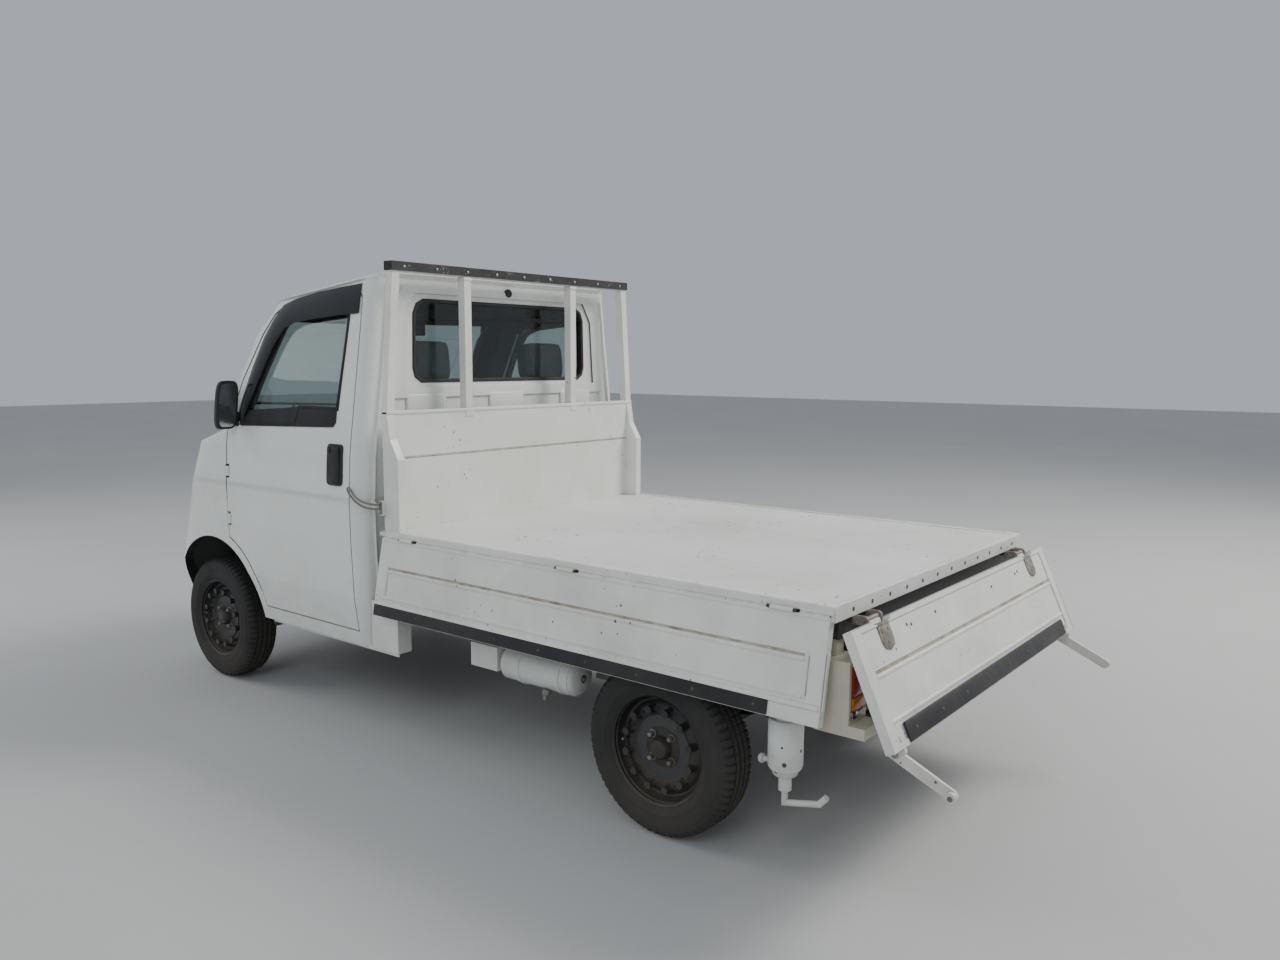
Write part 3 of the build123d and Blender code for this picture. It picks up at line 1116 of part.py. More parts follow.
nodes = {
    "frame_rails": frame_rails,
    "cross_members": cross_members,
    "cab_floor": cab_floor,
    "cab_front": cab_front,
    "cab_roof": cab_roof,
    "cab_rear_wall": cab_rear_wall,
    "cab_side_left": cab_side_left,
    "cab_side_right": other_side(cab_side_left),
    "front_bumper": front_bumper,
    "grille": grille,
    "headlamps": headlamps,
    "cab_glass": Compound([windscreen, rear_glass]),
    "dashboard": Compound([dashboard, steering_column]),
    "seat_base": seat_base,
    "seats": seats,
    "deck": deck,
    "bed_bearers": bed_bearers,
    "headboard": headboard,
    "headboard_guard": headboard_guard,
    "engine": engine,
    "fuel_tank": fuel_tank,
    "muffler": muffler,
    "air_canister": air_canister,
    "rear_axle": rear_axle,
    "suspension": Compound([spring, other_side(spring), arm + hanger, other_side(arm + hanger)]),
    "rear_lamps": rear_lamps,
    "jack_tube": jack_tube,
    "jack_leg": jack_leg,
    "tow_eye": tow_eye,
    "knuckle_left": knuckle_left,
    "knuckle_right": other_side(knuckle_left),
    "steering_wheel": steering_wheel,
    "door_left": door_left,
    "door_right": other_side(door_left),
    "door_glass_left": door_glass_left,
    "door_glass_right": other_side(door_glass_left),
    "door_fittings_left": door_fittings_left,
    "door_fittings_right": other_side(door_fittings_left),
    "gate_left": gate_left,
    "gate_right": other_side(gate_left),
    "tailgate": tailgate,
}
for place, x in (("front", FRONT_AXLE_X), ("rear", REAR_AXLE_X)):
    for side, y in (("left", TRACK_HALF), ("right", -TRACK_HALF)):
        nodes[f"tyre_{place}_{side}"] = wheel_tyre(x, y)
        nodes[f"rim_{place}_{side}"] = wheel_rim(x, y)

# The truck moves so that the origin lies under the middle of its overall box.
REAR_END = min(shape.bounding_box().min.X for shape in nodes.values())
FRONT_END = max(shape.bounding_box().max.X for shape in nodes.values())
shift = Pos(-(REAR_END + FRONT_END) / 2, 0, 0)
for name, shape in nodes.items():
    export_step(shift * shape, f"parts/{name}.step")
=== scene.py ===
import logging
import math
from dataclasses import dataclass, field, replace
from enum import Enum
from itertools import product
from typing import Iterable, Optional, Sequence

import bmesh
import bpy
from mathutils import Matrix, Vector
from mathutils.bvhtree import BVHTree


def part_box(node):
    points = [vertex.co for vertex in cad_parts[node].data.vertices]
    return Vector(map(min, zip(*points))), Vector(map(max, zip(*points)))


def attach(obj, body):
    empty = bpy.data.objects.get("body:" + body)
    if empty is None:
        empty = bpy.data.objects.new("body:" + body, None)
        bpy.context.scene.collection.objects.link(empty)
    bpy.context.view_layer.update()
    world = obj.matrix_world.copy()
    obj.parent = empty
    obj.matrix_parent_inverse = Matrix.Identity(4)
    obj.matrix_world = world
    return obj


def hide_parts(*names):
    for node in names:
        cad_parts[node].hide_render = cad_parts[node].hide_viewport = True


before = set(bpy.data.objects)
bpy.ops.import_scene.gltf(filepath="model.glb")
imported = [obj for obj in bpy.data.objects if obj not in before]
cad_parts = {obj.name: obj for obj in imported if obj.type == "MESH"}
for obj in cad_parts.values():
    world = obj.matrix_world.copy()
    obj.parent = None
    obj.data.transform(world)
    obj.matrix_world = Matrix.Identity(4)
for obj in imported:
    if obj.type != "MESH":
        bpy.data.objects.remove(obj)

# The dressed kei truck: finishes, trim, wheels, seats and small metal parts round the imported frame.
# Sizes are millimetres on the truck's own axes: X = 0 is the deck's rear edge, X runs forward,
# Y to the truck's left, Z up from the ground. They become metres when a piece is finished.

log = logging.getLogger("kei_truck")

Pair = tuple[float, float]
Point = tuple[float, float, float]
Colour = tuple[float, float, float]
Outline = tuple[Pair, ...]
Socket = bpy.types.NodeSocket
Sockets = bpy.types.bpy_prop_collection
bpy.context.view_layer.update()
DECK_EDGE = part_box("deck")[0].x * 1000
MM = 0.001
SIDES = {"left": 1, "right": -1}
CAB_REAR_X = 1898
FRONT_AXLE_X = 2992
REAR_AXLE_X = 572
RIVET = ((0, 5), (1.4, 4.4), (2, 0.5))
FOLD = ((-7, -2), (7, -2), (5, 1.6), (1.5, 3.6), (-2, 3.2), (-6, 1.2))


def metres(point: Sequence[float]) -> Vector:
    """Turns a point on the truck's axes, in millimetres, into the frame's metres."""
    return Vector(((point[0] + DECK_EDGE) * MM, point[1] * MM, point[2] * MM))


# Outlines


def circle(count: int) -> list[Pair]:
    """Returns the cosine and sine of equal steps round a circle."""
    return [(math.cos(a), math.sin(a)) for a in (2 * math.pi * i / count for i in range(count))]


def steps_round(count: int) -> list[tuple[int, int]]:
    """Returns each place of a ring with the next one."""
    return [(i, (i + 1) % count) for i in range(count)]


def squared(value: float, power: float) -> float:
    """Raises a cosine or sine to a power but keeps its sign, which gives a circle corners."""
    return math.copysign(abs(value) ** power, value)


def even(span: Pair, parts: int) -> list[float]:
    """Returns the ends of the equal parts of a span."""
    return [span[0] + (span[1] - span[0]) * k / parts for k in range(parts + 1)]


def between(low: float, places: Sequence[float], high: float, gap: float = 50) -> list[Pair]:
    """Returns the stretches from low to high that leave a gap on both sides of each place."""
    stops = [low] + [x + d for x in places for d in (-gap, gap)] + [high]
    return list(zip(stops[::2], stops[1::2]))


def both_sides(half: Outline) -> list[Pair]:
    """Closes a half outline with its mirror image."""
    return [*half, *((-y, z) for y, z in reversed(half))]


def stepped(ring: Sequence[Pair], reach: float) -> list[Pair]:
    """Divides the long sides of a closed outline into steps of about one reach."""
    path = []
    for (a0, b0), (a1, b1) in zip(ring, [*ring[1:], ring[0]]):
        steps = max(1, int(math.hypot(a1 - a0, b1 - b0) // reach))
        path += [(a0 + (a1 - a0) * k / steps, b0 + (b1 - b0) * k / steps) for k in range(steps)]
    return path


def lip_section(half: float, depth: float, shoulder: float, top_half: float, top: float) -> list[Pair]:
    """Returns a rubber seal's section: a block whose upper corners slope to a narrow top."""
    right = ((half, -depth), (half, shoulder), (top_half, top))
    return [(-half, -depth), *right, (-top_half, top), (-half, shoulder)]


# Shader nodes and finishes


class Effect(Enum):
    """Effects that several finishes share: each node group's name, and its inputs with their first values."""

    GRIME = ("Road grime", {"Height": 0.7, "Scale": 6, "Amount": 0.5})
    EDGE_WEAR = ("Edge wear", {"Radius": 0.004, "Scale": 30, "Amount": 0.5})
    SPECKS = ("Chips and specks", {"Scale": 90, "Amount": 0.3})
    SCUFFS = ("Dragged scuffs", {"Scale": 9, "Amount": 0.3})
    GRAIN = ("Surface grain", {"Scale": 400, "Amount": 0.5})
    WEAVE = ("Seat weave", {"Scale": 320, "Amount": 1})
    UNDERSEAL = ("Wheel arch underseal", {"Centre X": 0, "Centre Z": 0.3, "Radius": 0.34})
    BODY_LINE = ("Pressed body line", {"Height": 0.9, "Spread": 0.03})


class Web:
    """Adds shader nodes to one tree and joins them."""

    def __init__(self, tree: bpy.types.NodeTree) -> None:
        """Keeps the tree that the nodes go into."""
        self.tree = tree

    def feed(self, socket: Socket, value: object) -> None:
        """Links a socket to another socket, or sets its number or colour."""
        if isinstance(value, Socket):
            self.tree.links.new(value, socket)
        else:
            socket.default_value = value

    def node(self, kind: str, inputs: Optional[dict] = None, **settings: object) -> bpy.types.Node:
        """Adds one node.

        Args:
            kind: Blender's name of the node type, without "ShaderNode".
            inputs: sockets by name or number, with what feeds them.
            settings: the node's own properties.

        Returns:
            The new node.
        """
        made = self.tree.nodes.new("ShaderNode" + kind)
        for key, value in settings.items():
            setattr(made, key, value)
        for key, value in (inputs or {}).items():
            self.feed(made.inputs[key], value)
        return made

    def math(self, operation: str, first: object, second: object = 0, clamp: bool = False) -> Socket:
        """Adds a Math node and returns its result."""
        return self.node("Math", {0: first, 1: second}, operation=operation, use_clamp=clamp).outputs[0]

    def times(self, first: object, second: object, clamp: bool = False) -> Socket:
        """Multiplies two values."""
        return self.math("MULTIPLY", first, second, clamp)

    def bump(self, distance: float, height: Socket, strength: float = 1) -> bpy.types.Node:
        """Adds a Bump node and returns it."""
        return self.node("Bump", {"Strength": strength, "Distance": distance, "Height": height})

    def blend(self, factor: object, first: object, second: object) -> Socket:
        """Adds a colour Mix node and returns its colour."""
        return self.node("Mix", {0: factor, 6: first, 7: second}, data_type="RGBA").outputs[2]

    def span(
        self, value: object, low: object, high: object, to_low: object = 0, to_high: object = 1
    ) -> Socket:
        """Adds a clamped Map Range node and returns its result."""
        return self.node("MapRange", {0: value, 1: low, 2: high, 3: to_low, 4: to_high}).outputs[0]

    def noise(self, vector: object, scale: object, detail: float = 4, rough: float = 0.55) -> Socket:
        """Adds a Noise Texture and returns its value."""
        wanted = {"Vector": vector, "Scale": scale, "Detail": detail, "Roughness": rough}
        return self.node("TexNoise", wanted).outputs[0]

    def stretch(self, vector: object, scale: Point) -> Socket:
        """Scales a vector along each axis."""
        return self.node("VectorMath", {0: vector, 1: scale}, operation="MULTIPLY").outputs[0]


def flat(colour: Colour) -> tuple[float, float, float, float]:
    """Adds full alpha to a colour."""
    return (*colour, 1)


@dataclass
class Effects:
    """The shared node groups, each built the first time that a finish asks for it."""

    made: dict[Effect, bpy.types.NodeTree] = field(default_factory=dict)

    def get(self, effect: Effect) -> bpy.types.NodeTree:
        """Returns the group of an effect, building it once."""
        if effect not in self.made:
            title, inputs = effect.value
            build = {
                Effect.GRIME: self.grime, Effect.EDGE_WEAR: self.edge_wear, Effect.SPECKS: self.specks,
                Effect.SCUFFS: self.scuffs, Effect.GRAIN: self.grain, Effect.WEAVE: self.weave,
                Effect.UNDERSEAL: self.underseal, Effect.BODY_LINE: self.body_line,
            }[effect]
            tree = bpy.data.node_groups.new(title, "ShaderNodeTree")
            tree.interface.new_socket("Vector", in_out="INPUT", socket_type="NodeSocketVector")
            for name, value in inputs.items():
                socket = tree.interface.new_socket(name, in_out="INPUT", socket_type="NodeSocketFloat")
                socket.default_value = value
            tree.interface.new_socket("Mask", in_out="OUTPUT", socket_type="NodeSocketFloat")
            entry = tree.nodes.new("NodeGroupInput")
            leave = tree.nodes.new("NodeGroupOutput")
            tree.links.new(build(Web(tree), entry.outputs), leave.inputs["Mask"])
            self.made[effect] = tree
        return self.made[effect]

    @staticmethod
    def grime(web: Web, ins: Sockets) -> Socket:
        """Dust and mud that thicken towards the ground, broken up in patches."""
        height = web.node("SeparateXYZ", {0: ins["Vector"]}).outputs[2]
        low = web.span(height, 0, ins["Height"], 1, 0)
        patches = web.noise(ins["Vector"], ins["Scale"], 8, 0.65)
        broken = web.span(web.math("ADD", patches, web.times(low, 0.45)), 0.52, 0.92)
        settled = web.times(broken, web.math("POWER", low, 0.8))
        return web.times(settled, ins["Amount"], clamp=True)

    @staticmethod
    def edge_wear(web: Web, ins: Sockets) -> Socket:
        """Rubbed edges, found where a rounded normal leaves the true one."""
        rounded = web.node("Bevel", {"Radius": ins["Radius"]}, samples=4).outputs[0]
        true = web.node("NewGeometry").outputs["Normal"]
        dot = web.node("VectorMath", {0: rounded, 1: true}, operation="DOT_PRODUCT").outputs["Value"]
        edge = web.span(web.math("SUBTRACT", 1, dot), 0.02, 0.3)
        rubbed = web.span(web.noise(ins["Vector"], ins["Scale"], 6, 0.7), 0.42, 0.62)
        return web.times(web.times(edge, rubbed), ins["Amount"], clamp=True)

    @staticmethod
    def specks(web: Web, ins: Sockets) -> Socket:
        """Small round chips scattered unevenly."""
        wobble = web.noise(ins["Vector"], web.times(ins["Scale"], 0.9), 3)
        cells = web.node("TexVoronoi", {"Vector": ins["Vector"], "Scale": ins["Scale"]}).outputs["Distance"]
        where = web.span(web.noise(ins["Vector"], web.times(ins["Scale"], 0.12), 2), 0.4, 0.7)
        limit = web.times(web.times(where, ins["Amount"]), wobble)
        return web.math("LESS_THAN", cells, limit)

    @staticmethod
    def scuffs(web: Web, ins: Sockets) -> Socket:
        """Long thin marks left by loads dragged along the truck."""
        along = web.noise(web.stretch(ins["Vector"], (0.35, 9, 9)), ins["Scale"], 8, 0.75)
        thin = web.span(along, 0.6, 0.7)
        clouds = web.span(web.noise(ins["Vector"], web.times(ins["Scale"], 0.35), 3), 0.4, 0.65)
        return web.times(web.times(thin, clouds), ins["Amount"], clamp=True)

    @staticmethod
    def grain(web: Web, ins: Sockets) -> Socket:
        """Fine height of paint, cast metal or moulded plastic."""
        fine = web.noise(ins["Vector"], ins["Scale"], 3, 0.5)
        broad = web.noise(ins["Vector"], web.times(ins["Scale"], 0.08), 2)
        return web.times(web.math("ADD", fine, web.times(broad, 2)), ins["Amount"])

    @staticmethod
    def weave(web: Web, ins: Sockets) -> Socket:
        """Crossed threads of the seat cloth."""
        threads = []
        for axis in ("X", "Y"):
            wanted = {"Vector": ins["Vector"], "Scale": ins["Scale"]}
            threads.append(web.node("TexWave", wanted, bands_direction=axis).outputs["Fac"])
        return web.times(web.times(threads[0], threads[1]), ins["Amount"])

    @staticmethod
    def underseal(web: Web, ins: Sockets) -> Socket:
        """Black sealing inside a round wheel arch, measured from the arch's centre."""
        place = web.node("SeparateXYZ", {0: ins["Vector"]}).outputs
        along = web.math("POWER", web.math("SUBTRACT", place[0], ins["Centre X"]), 2)
        above = web.math("POWER", web.math("SUBTRACT", place[2], ins["Centre Z"]), 2)
        reach = web.math("SQRT", web.math("ADD", along, above))
        return web.math("LESS_THAN", reach, ins["Radius"])

    @staticmethod
    def body_line(web: Web, ins: Sockets) -> Socket:
        """Height of the line pressed along the cab's flank: a soft shoulder above it, a short fold below."""
        height = web.node("SeparateXYZ", {0: ins["Vector"]}).outputs[2]
        above = web.math("SUBTRACT", height, ins["Height"])
        spread = web.times(ins["Spread"], web.span(above, -0.003, 0.003, 0.8, 3.2))
        rise = web.math("DIVIDE", above, spread)
        return web.math("EXPONENT", web.times(web.times(rise, rise), -1))


EFFECTS = Effects()


@dataclass(frozen=True)
class Finish:
    """A painted, rubber, plastic or metal surface, aged and dirtied."""

    name: str
    slot: str
    colour: Colour
    aged: Colour
    rough: Pair = (0.35, 0.55)
    metallic: float = 0
    coat: float = 0
    patches: float = 2.5
    grime: float = 0.5
    grime_height: float = 0.75
    grime_colour: Colour = (0.16, 0.13, 0.09)
    wear: float = 0.3
    wear_radius: float = 0.004
    wear_colour: Colour = (0.25, 0.17, 0.11)
    specks: float = 0
    specks_scale: float = 90
    specks_colour: Colour = (0.2, 0.09, 0.04)
    scuffs: float = 0
    scuffs_colour: Colour = (0.3, 0.3, 0.29)
    grain: float = 260
    bump: float = 0.04

    def ground(self, web: Web, vector: Socket) -> Socket:
        """Returns the clean colour, drifting between fresh and aged."""
        drift = web.span(web.noise(vector, self.patches, 5, 0.6), 0.35, 0.7)
        return web.blend(drift, flat(self.colour), flat(self.aged))

    def height(self, web: Web, vector: Socket) -> Socket:
        """Returns the surface's fine height."""
        return self.effect(web, Effect.GRAIN, vector, {"Scale": self.grain, "Amount": 1})

    @staticmethod
    def effect(web: Web, effect: Effect, vector: Socket, values: dict[str, float]) -> Socket:
        """Places one shared group with its own values and returns its mask."""
        placed = web.node("Group", node_tree=EFFECTS.get(effect))
        web.feed(placed.inputs["Vector"], vector)
        for name, value in values.items():
            placed.inputs[name].default_value = value
        return placed.outputs["Mask"]

    def shade(self, web: Web, shader: bpy.types.Node) -> None:
        """Joins the layers of the finish to the shader.

        Args:
            web: the material's node tree.
            shader: the material's Principled BSDF.
        """
        vector = web.node("TexCoord").outputs["Object"]
        colour = self.ground(web, vector)
        worn = []
        layers = (
            (Effect.SCUFFS, self.scuffs, "Scale", 9, self.scuffs_colour),
            (Effect.SPECKS, self.specks, "Scale", self.specks_scale, self.specks_colour),
            (Effect.EDGE_WEAR, self.wear, "Radius", self.wear_radius, self.wear_colour),
            (Effect.GRIME, self.grime, "Height", self.grime_height, self.grime_colour),
        )
        for effect, amount, key, value, layer_colour in layers:
            if amount > 0:
                mask = self.effect(web, effect, vector, {key: value, "Amount": amount})
                colour = web.blend(mask, colour, flat(layer_colour))
                worn.append(mask)
        low, high = self.rough
        roughness = web.span(web.noise(vector, 14, 5), 0.3, 0.7, low, high)
        for mask in worn:
            roughness = web.math("ADD", roughness, web.times(mask, 0.2), clamp=True)
        web.feed(shader.inputs["Base Color"], colour)
        web.feed(shader.inputs["Roughness"], roughness)
        bump = web.bump(self.bump * MM * 10, self.height(web, vector))
        web.feed(shader.inputs["Normal"], bump.outputs[0])
        shader.inputs["Metallic"].default_value = self.metallic
        shader.inputs["Coat Weight"].default_value = self.coat
        shader.inputs["Coat Roughness"].default_value = 0.12

    def material(self) -> bpy.types.Material:
        """Returns the finish as a material, building it once."""
        found = bpy.data.materials.get(self.name)
        if found:
            return found
        made = bpy.data.materials.new(self.name)
        made.use_nodes = True
        made.diffuse_color = flat(self.colour)
        self.shade(Web(made.node_tree), made.node_tree.nodes["Principled BSDF"])
        return made


@dataclass(frozen=True)
class CabPaint(Finish):
    """Body paint with the pressed line along the flank and black sealing in the front wheel arches."""

    arch_x: float = (2950 + DECK_EDGE) * MM
    arch_z: float = 292 * MM
    arch_radius: float = 344.6 * MM
    sealing: Colour = (0.02, 0.02, 0.02)
    line_height: float = 0.892
    line_spread: float = 0.022
    line_depth: float = 0.008

    def ground(self, web: Web, vector: Socket) -> Socket:
        """Returns the paint, black inside the arches."""
        paint = super().ground(web, vector)
        places = {"Centre X": self.arch_x, "Centre Z": self.arch_z, "Radius": self.arch_radius}
        return web.blend(self.effect(web, Effect.UNDERSEAL, vector, places), paint, flat(self.sealing))

    def shade(self, web: Web, shader: bpy.types.Node) -> None:
        """Adds the pressed line under the paint's own grain."""
        super().shade(web, shader)
        vector = web.node("TexCoord").outputs["Object"]
        place = {"Height": self.line_height, "Spread": self.line_spread}
        grain = shader.inputs["Normal"].links[0].from_node
        pressed = web.bump(self.line_depth, self.effect(web, Effect.BODY_LINE, vector, place))
        web.feed(grain.inputs["Normal"], pressed.outputs[0])


@dataclass(frozen=True)
class Cloth(Finish):
    """Woven seat cloth, with sheen and faded patches."""

    threads: float = 320

    def height(self, web: Web, vector: Socket) -> Socket:
        """Returns the height of the crossed threads."""
        return self.effect(web, Effect.WEAVE, vector, {"Scale": self.threads, "Amount": 1})

    def shade(self, web: Web, shader: bpy.types.Node) -> None:
        """Adds the cloth's sheen to the usual layers."""
        super().shade(web, shader)
        shader.inputs["Sheen Weight"].default_value = 0.4
        shader.inputs["Sheen Roughness"].default_value = 0.5


@dataclass(frozen=True)
class Clear(Finish):
    """Window glass or a moulded lens, with dust settled on it."""

    ior: float = 1.45
    clear: float = 1

    def shade(self, web: Web, shader: bpy.types.Node) -> None:
        """Makes the shader see-through, with a film of dust."""
        vector = web.node("TexCoord").outputs["Object"]
        film = self.effect(web, Effect.GRIME, vector, {"Height": self.grime_height, "Amount": self.grime})
        web.feed(shader.inputs["Base Color"], web.blend(film, flat(self.colour), flat(self.aged)))
        low, high = self.rough
        web.feed(shader.inputs["Roughness"], web.span(film, 0, 1, low, high))
        shader.inputs["Transmission Weight"].default_value = self.clear
        shader.inputs["IOR"].default_value = self.ior
        bump = web.bump(self.bump * MM, self.height(web, vector), 0.2)
        web.feed(shader.inputs["Normal"], bump.outputs[0])


@dataclass(frozen=True)
class Fluted(Clear):
    """A clear lens moulded with upright flutes."""

    flutes: float = 26

    def height(self, web: Web, vector: Socket) -> Socket:
        """Returns the height of the flutes."""
        wave = web.node("TexWave", {"Vector": vector, "Scale": self.flutes}, bands_direction="Y")
        return wave.outputs["Fac"]


WHITE = Finish(
    "body_white", "white_paint", (0.78, 0.80, 0.76), (0.71, 0.73, 0.68), rough=(0.22, 0.38), coat=0.35,
    grime=0.55, grime_height=0.62, wear=0.12, specks=0.16, specks_scale=26, bump=0.012, grain=120,
)
CAB_WHITE = CabPaint(
    "cab_white", "white_paint", (0.78, 0.80, 0.76), (0.71, 0.73, 0.68), rough=(0.2, 0.36), coat=0.4,
    grime=0.55, grime_height=0.6, wear=0.12, specks=0.12, specks_scale=24, bump=0.012, grain=120,
)
OILY_WHITE = Finish(
    "oily_white", "white_paint", (0.80, 0.82, 0.80), (0.70, 0.72, 0.68), grime=0.6, grime_height=0.9,
    specks=0.85, specks_scale=26, specks_colour=(0.05, 0.045, 0.035),
)
LINING = Finish(
    "cab_lining", "white_paint", (0.13, 0.13, 0.135), (0.10, 0.10, 0.10), rough=(0.7, 0.9), grime=0,
    wear=0, grain=500, bump=0.05,
)
BED_WHITE = Finish(
    "bed_white", "white_paint", (0.79, 0.79, 0.75), (0.66, 0.66, 0.60), rough=(0.35, 0.55), coat=0.1,
    grime=0.45, grime_height=0.9, wear=0.7, wear_radius=0.005, specks=0.28, specks_scale=34, scuffs=0.35,
    bump=0.03,
)
DECK_WHITE = Finish(
    "deck_white", "white_paint", (0.78, 0.78, 0.76), (0.62, 0.61, 0.57), rough=(0.42, 0.65), patches=1.6,
    grime=0, wear=0.8, wear_radius=0.006, specks=0.34, specks_scale=22, specks_colour=(0.22, 0.19, 0.16),
    scuffs=0.75, scuffs_colour=(0.34, 0.34, 0.33), bump=0.05,
)
CREAM = Finish(
    "aged_cream", "lamp_case", (0.60, 0.57, 0.46), (0.48, 0.45, 0.35), rough=(0.4, 0.6), grime=0.6,
    wear=0.4, specks=0.2, bump=0.02,
)
RUBBER = Finish(
    "tyre_rubber", "tyre", (0.018, 0.018, 0.018), (0.035, 0.034, 0.032), rough=(0.62, 0.82), grime=0.35,
    grime_height=0.6, grime_colour=(0.09, 0.075, 0.055), wear=0.1, wear_colour=(0.06, 0.06, 0.06),
    bump=0.03,
)
WHEEL_BLACK = Finish(
    "wheel_black", "wheel_steel", (0.012, 0.012, 0.013), (0.025, 0.024, 0.023), rough=(0.3, 0.5),
    grime=0.35, grime_height=0.5, wear=0.35, wear_colour=(0.10, 0.06, 0.04), specks=0.14, bump=0.02,
    coat=0.1,
)
BLACK_TRIM = Finish(
    "black_trim", "black_plastic", (0.014, 0.014, 0.016), (0.030, 0.030, 0.032), rough=(0.38, 0.6),
    grime=0.2, wear=0.12, wear_colour=(0.09, 0.09, 0.09), grain=900, bump=0.03,
)
SEAL = Finish(
    "window_rubber", "black_plastic", (0.016, 0.016, 0.016), (0.028, 0.028, 0.028), rough=(0.6, 0.8),
    grime=0.15, wear=0.1, wear_colour=(0.06, 0.06, 0.06), bump=0.01,
)
FLECKED = Finish(
    "flecked_strip", "black_plastic", (0.012, 0.012, 0.013), (0.028, 0.028, 0.028), rough=(0.5, 0.75),
    grime=0, wear=0.3, wear_colour=(0.12, 0.12, 0.12), specks=0.5, specks_scale=150,
    specks_colour=(0.45, 0.46, 0.46), grain=700, bump=0.05,
)
CHASSIS = Finish(
    "chassis_black", "chassis_black", (0.022, 0.022, 0.023), (0.05, 0.045, 0.04), rough=(0.55, 0.8),
    grime=0.8, grime_height=0.9, wear=0.6, wear_colour=(0.13, 0.065, 0.03), specks=0.3, specks_scale=40,
    bump=0.06,
)
STEEL = Finish(
    "zinc_steel", "bare_metal", (0.42, 0.41, 0.39), (0.25, 0.22, 0.19), rough=(0.38, 0.62), metallic=0.85,
    grime=0.2, grime_height=1.2, wear=0.5, wear_colour=(0.16, 0.08, 0.035), specks=0.4, specks_scale=120,
    bump=0.05,
)
WORN_ZINC = Finish(
    "worn_zinc", "bare_metal", (0.33, 0.31, 0.29), (0.19, 0.15, 0.12), rough=(0.5, 0.75), metallic=0.55,
    patches=26, grime=0.2, grime_height=1.2, wear=0.6, wear_colour=(0.14, 0.06, 0.03), specks=0.5,
    specks_scale=140, specks_colour=(0.16, 0.07, 0.03), bump=0.08,
)
SHEET = Finish(
    "galvanised_sheet", "bare_metal", (0.46, 0.47, 0.48), (0.34, 0.35, 0.36), rough=(0.4, 0.6),
    metallic=0.6, patches=9, grime=0.2, grime_height=1.2, wear=0.3, wear_colour=(0.2, 0.12, 0.07),
    specks=0.3, specks_scale=80,
)
# Brown fill for grooves and creases: painted shade where the hollows fall dark, with some grime.
CREASE_SHADE_AND_GRIME = Finish(
    "crease_shade_and_grime", "white_paint", (0.27, 0.22, 0.14), (0.56, 0.54, 0.46), rough=(0.8, 0.95), patches=18,
    grime=0.2, grime_height=0.9, wear=0, bump=0.05,
)
RUST = Finish(
    "rusted_steel", "bare_metal", (0.16, 0.10, 0.065), (0.10, 0.055, 0.03), rough=(0.7, 0.9),
    metallic=0.2, grime=0.2, wear=0.4, wear_colour=(0.27, 0.14, 0.06), specks=0.3, specks_scale=150,
    bump=0.08,
)
CASTING = Finish(
    "cast_alloy", "bare_metal", (0.27, 0.27, 0.26), (0.17, 0.16, 0.15), rough=(0.5, 0.75), metallic=0.7,
    grime=0.7, grime_height=0.8, wear=0.3, wear_colour=(0.3, 0.29, 0.28), bump=0.08, grain=180,
)
CABIN_GREY = Finish(
    "cabin_grey", "black_plastic", (0.085, 0.088, 0.09), (0.06, 0.06, 0.062), rough=(0.55, 0.75),
    grime=0.1, wear=0.1, wear_colour=(0.13, 0.13, 0.13), grain=800, bump=0.03,
)
SEAT_CLOTH = Cloth(
    "seat_cloth", "seat_cloth", (0.085, 0.09, 0.10), (0.13, 0.135, 0.14), rough=(0.8, 0.95), patches=5,
    grime=0, wear=0, bump=0.06,
)
GLASS = Clear(
    "window_glass", "glass", (0.55, 0.63, 0.61), (0.4, 0.4, 0.37), rough=(0, 0.25), grime=0.12,
    grime_height=1.5, bump=0.01, grain=2,
)
VISOR = Clear(
    "smoked_visor", "glass", (0.035, 0.038, 0.042), (0.10, 0.10, 0.09), rough=(0.05, 0.3), grime=0.1,
    clear=0.6, bump=0.01, grain=4,
)
CLEAR_LENS = Clear(
    "clear_lens", "lamp_lens", (0.86, 0.88, 0.88), (0.5, 0.48, 0.42), rough=(0.03, 0.3), grime=0.3,
    grime_height=1, bump=0.4, grain=60,
)
FLUTED_LENS = Fluted(
    "fluted_lens", "lamp_lens", (0.86, 0.88, 0.88), (0.5, 0.48, 0.42), rough=(0.03, 0.3), grime=0.25,
    grime_height=1, bump=4,
)
RED_LENS = Clear(
    "red_lens", "lamp_lens", (0.42, 0.012, 0.01), (0.16, 0.06, 0.04), rough=(0.08, 0.4), grime=0.5,
    grime_height=0.9, clear=0.5, bump=0.6, grain=90,
)
AMBER_LENS = replace(RED_LENS, name="amber_lens", colour=(0.62, 0.21, 0.02), aged=(0.25, 0.12, 0.05))
LAMP_BOWL = Finish(
    "lamp_bowl", "lamp_lens", (0.62, 0.63, 0.64), (0.45, 0.46, 0.47), rough=(0.12, 0.25), metallic=0.9,
    grime=0, wear=0, grain=40, bump=0.3,
)
REFLECTOR = Finish(
    "lamp_reflector", "bare_metal", (0.75, 0.75, 0.76), (0.6, 0.6, 0.6), rough=(0.08, 0.2), metallic=1,
    grime=0, wear=0, bump=0.02,
)
FLOOR_GREY = Finish(
    "studio_grey", "white_paint", (0.50, 0.50, 0.49), (0.47, 0.47, 0.46), rough=(0.7, 0.85), patches=0.6,
    grime=0, wear=0, bump=0.02,
)

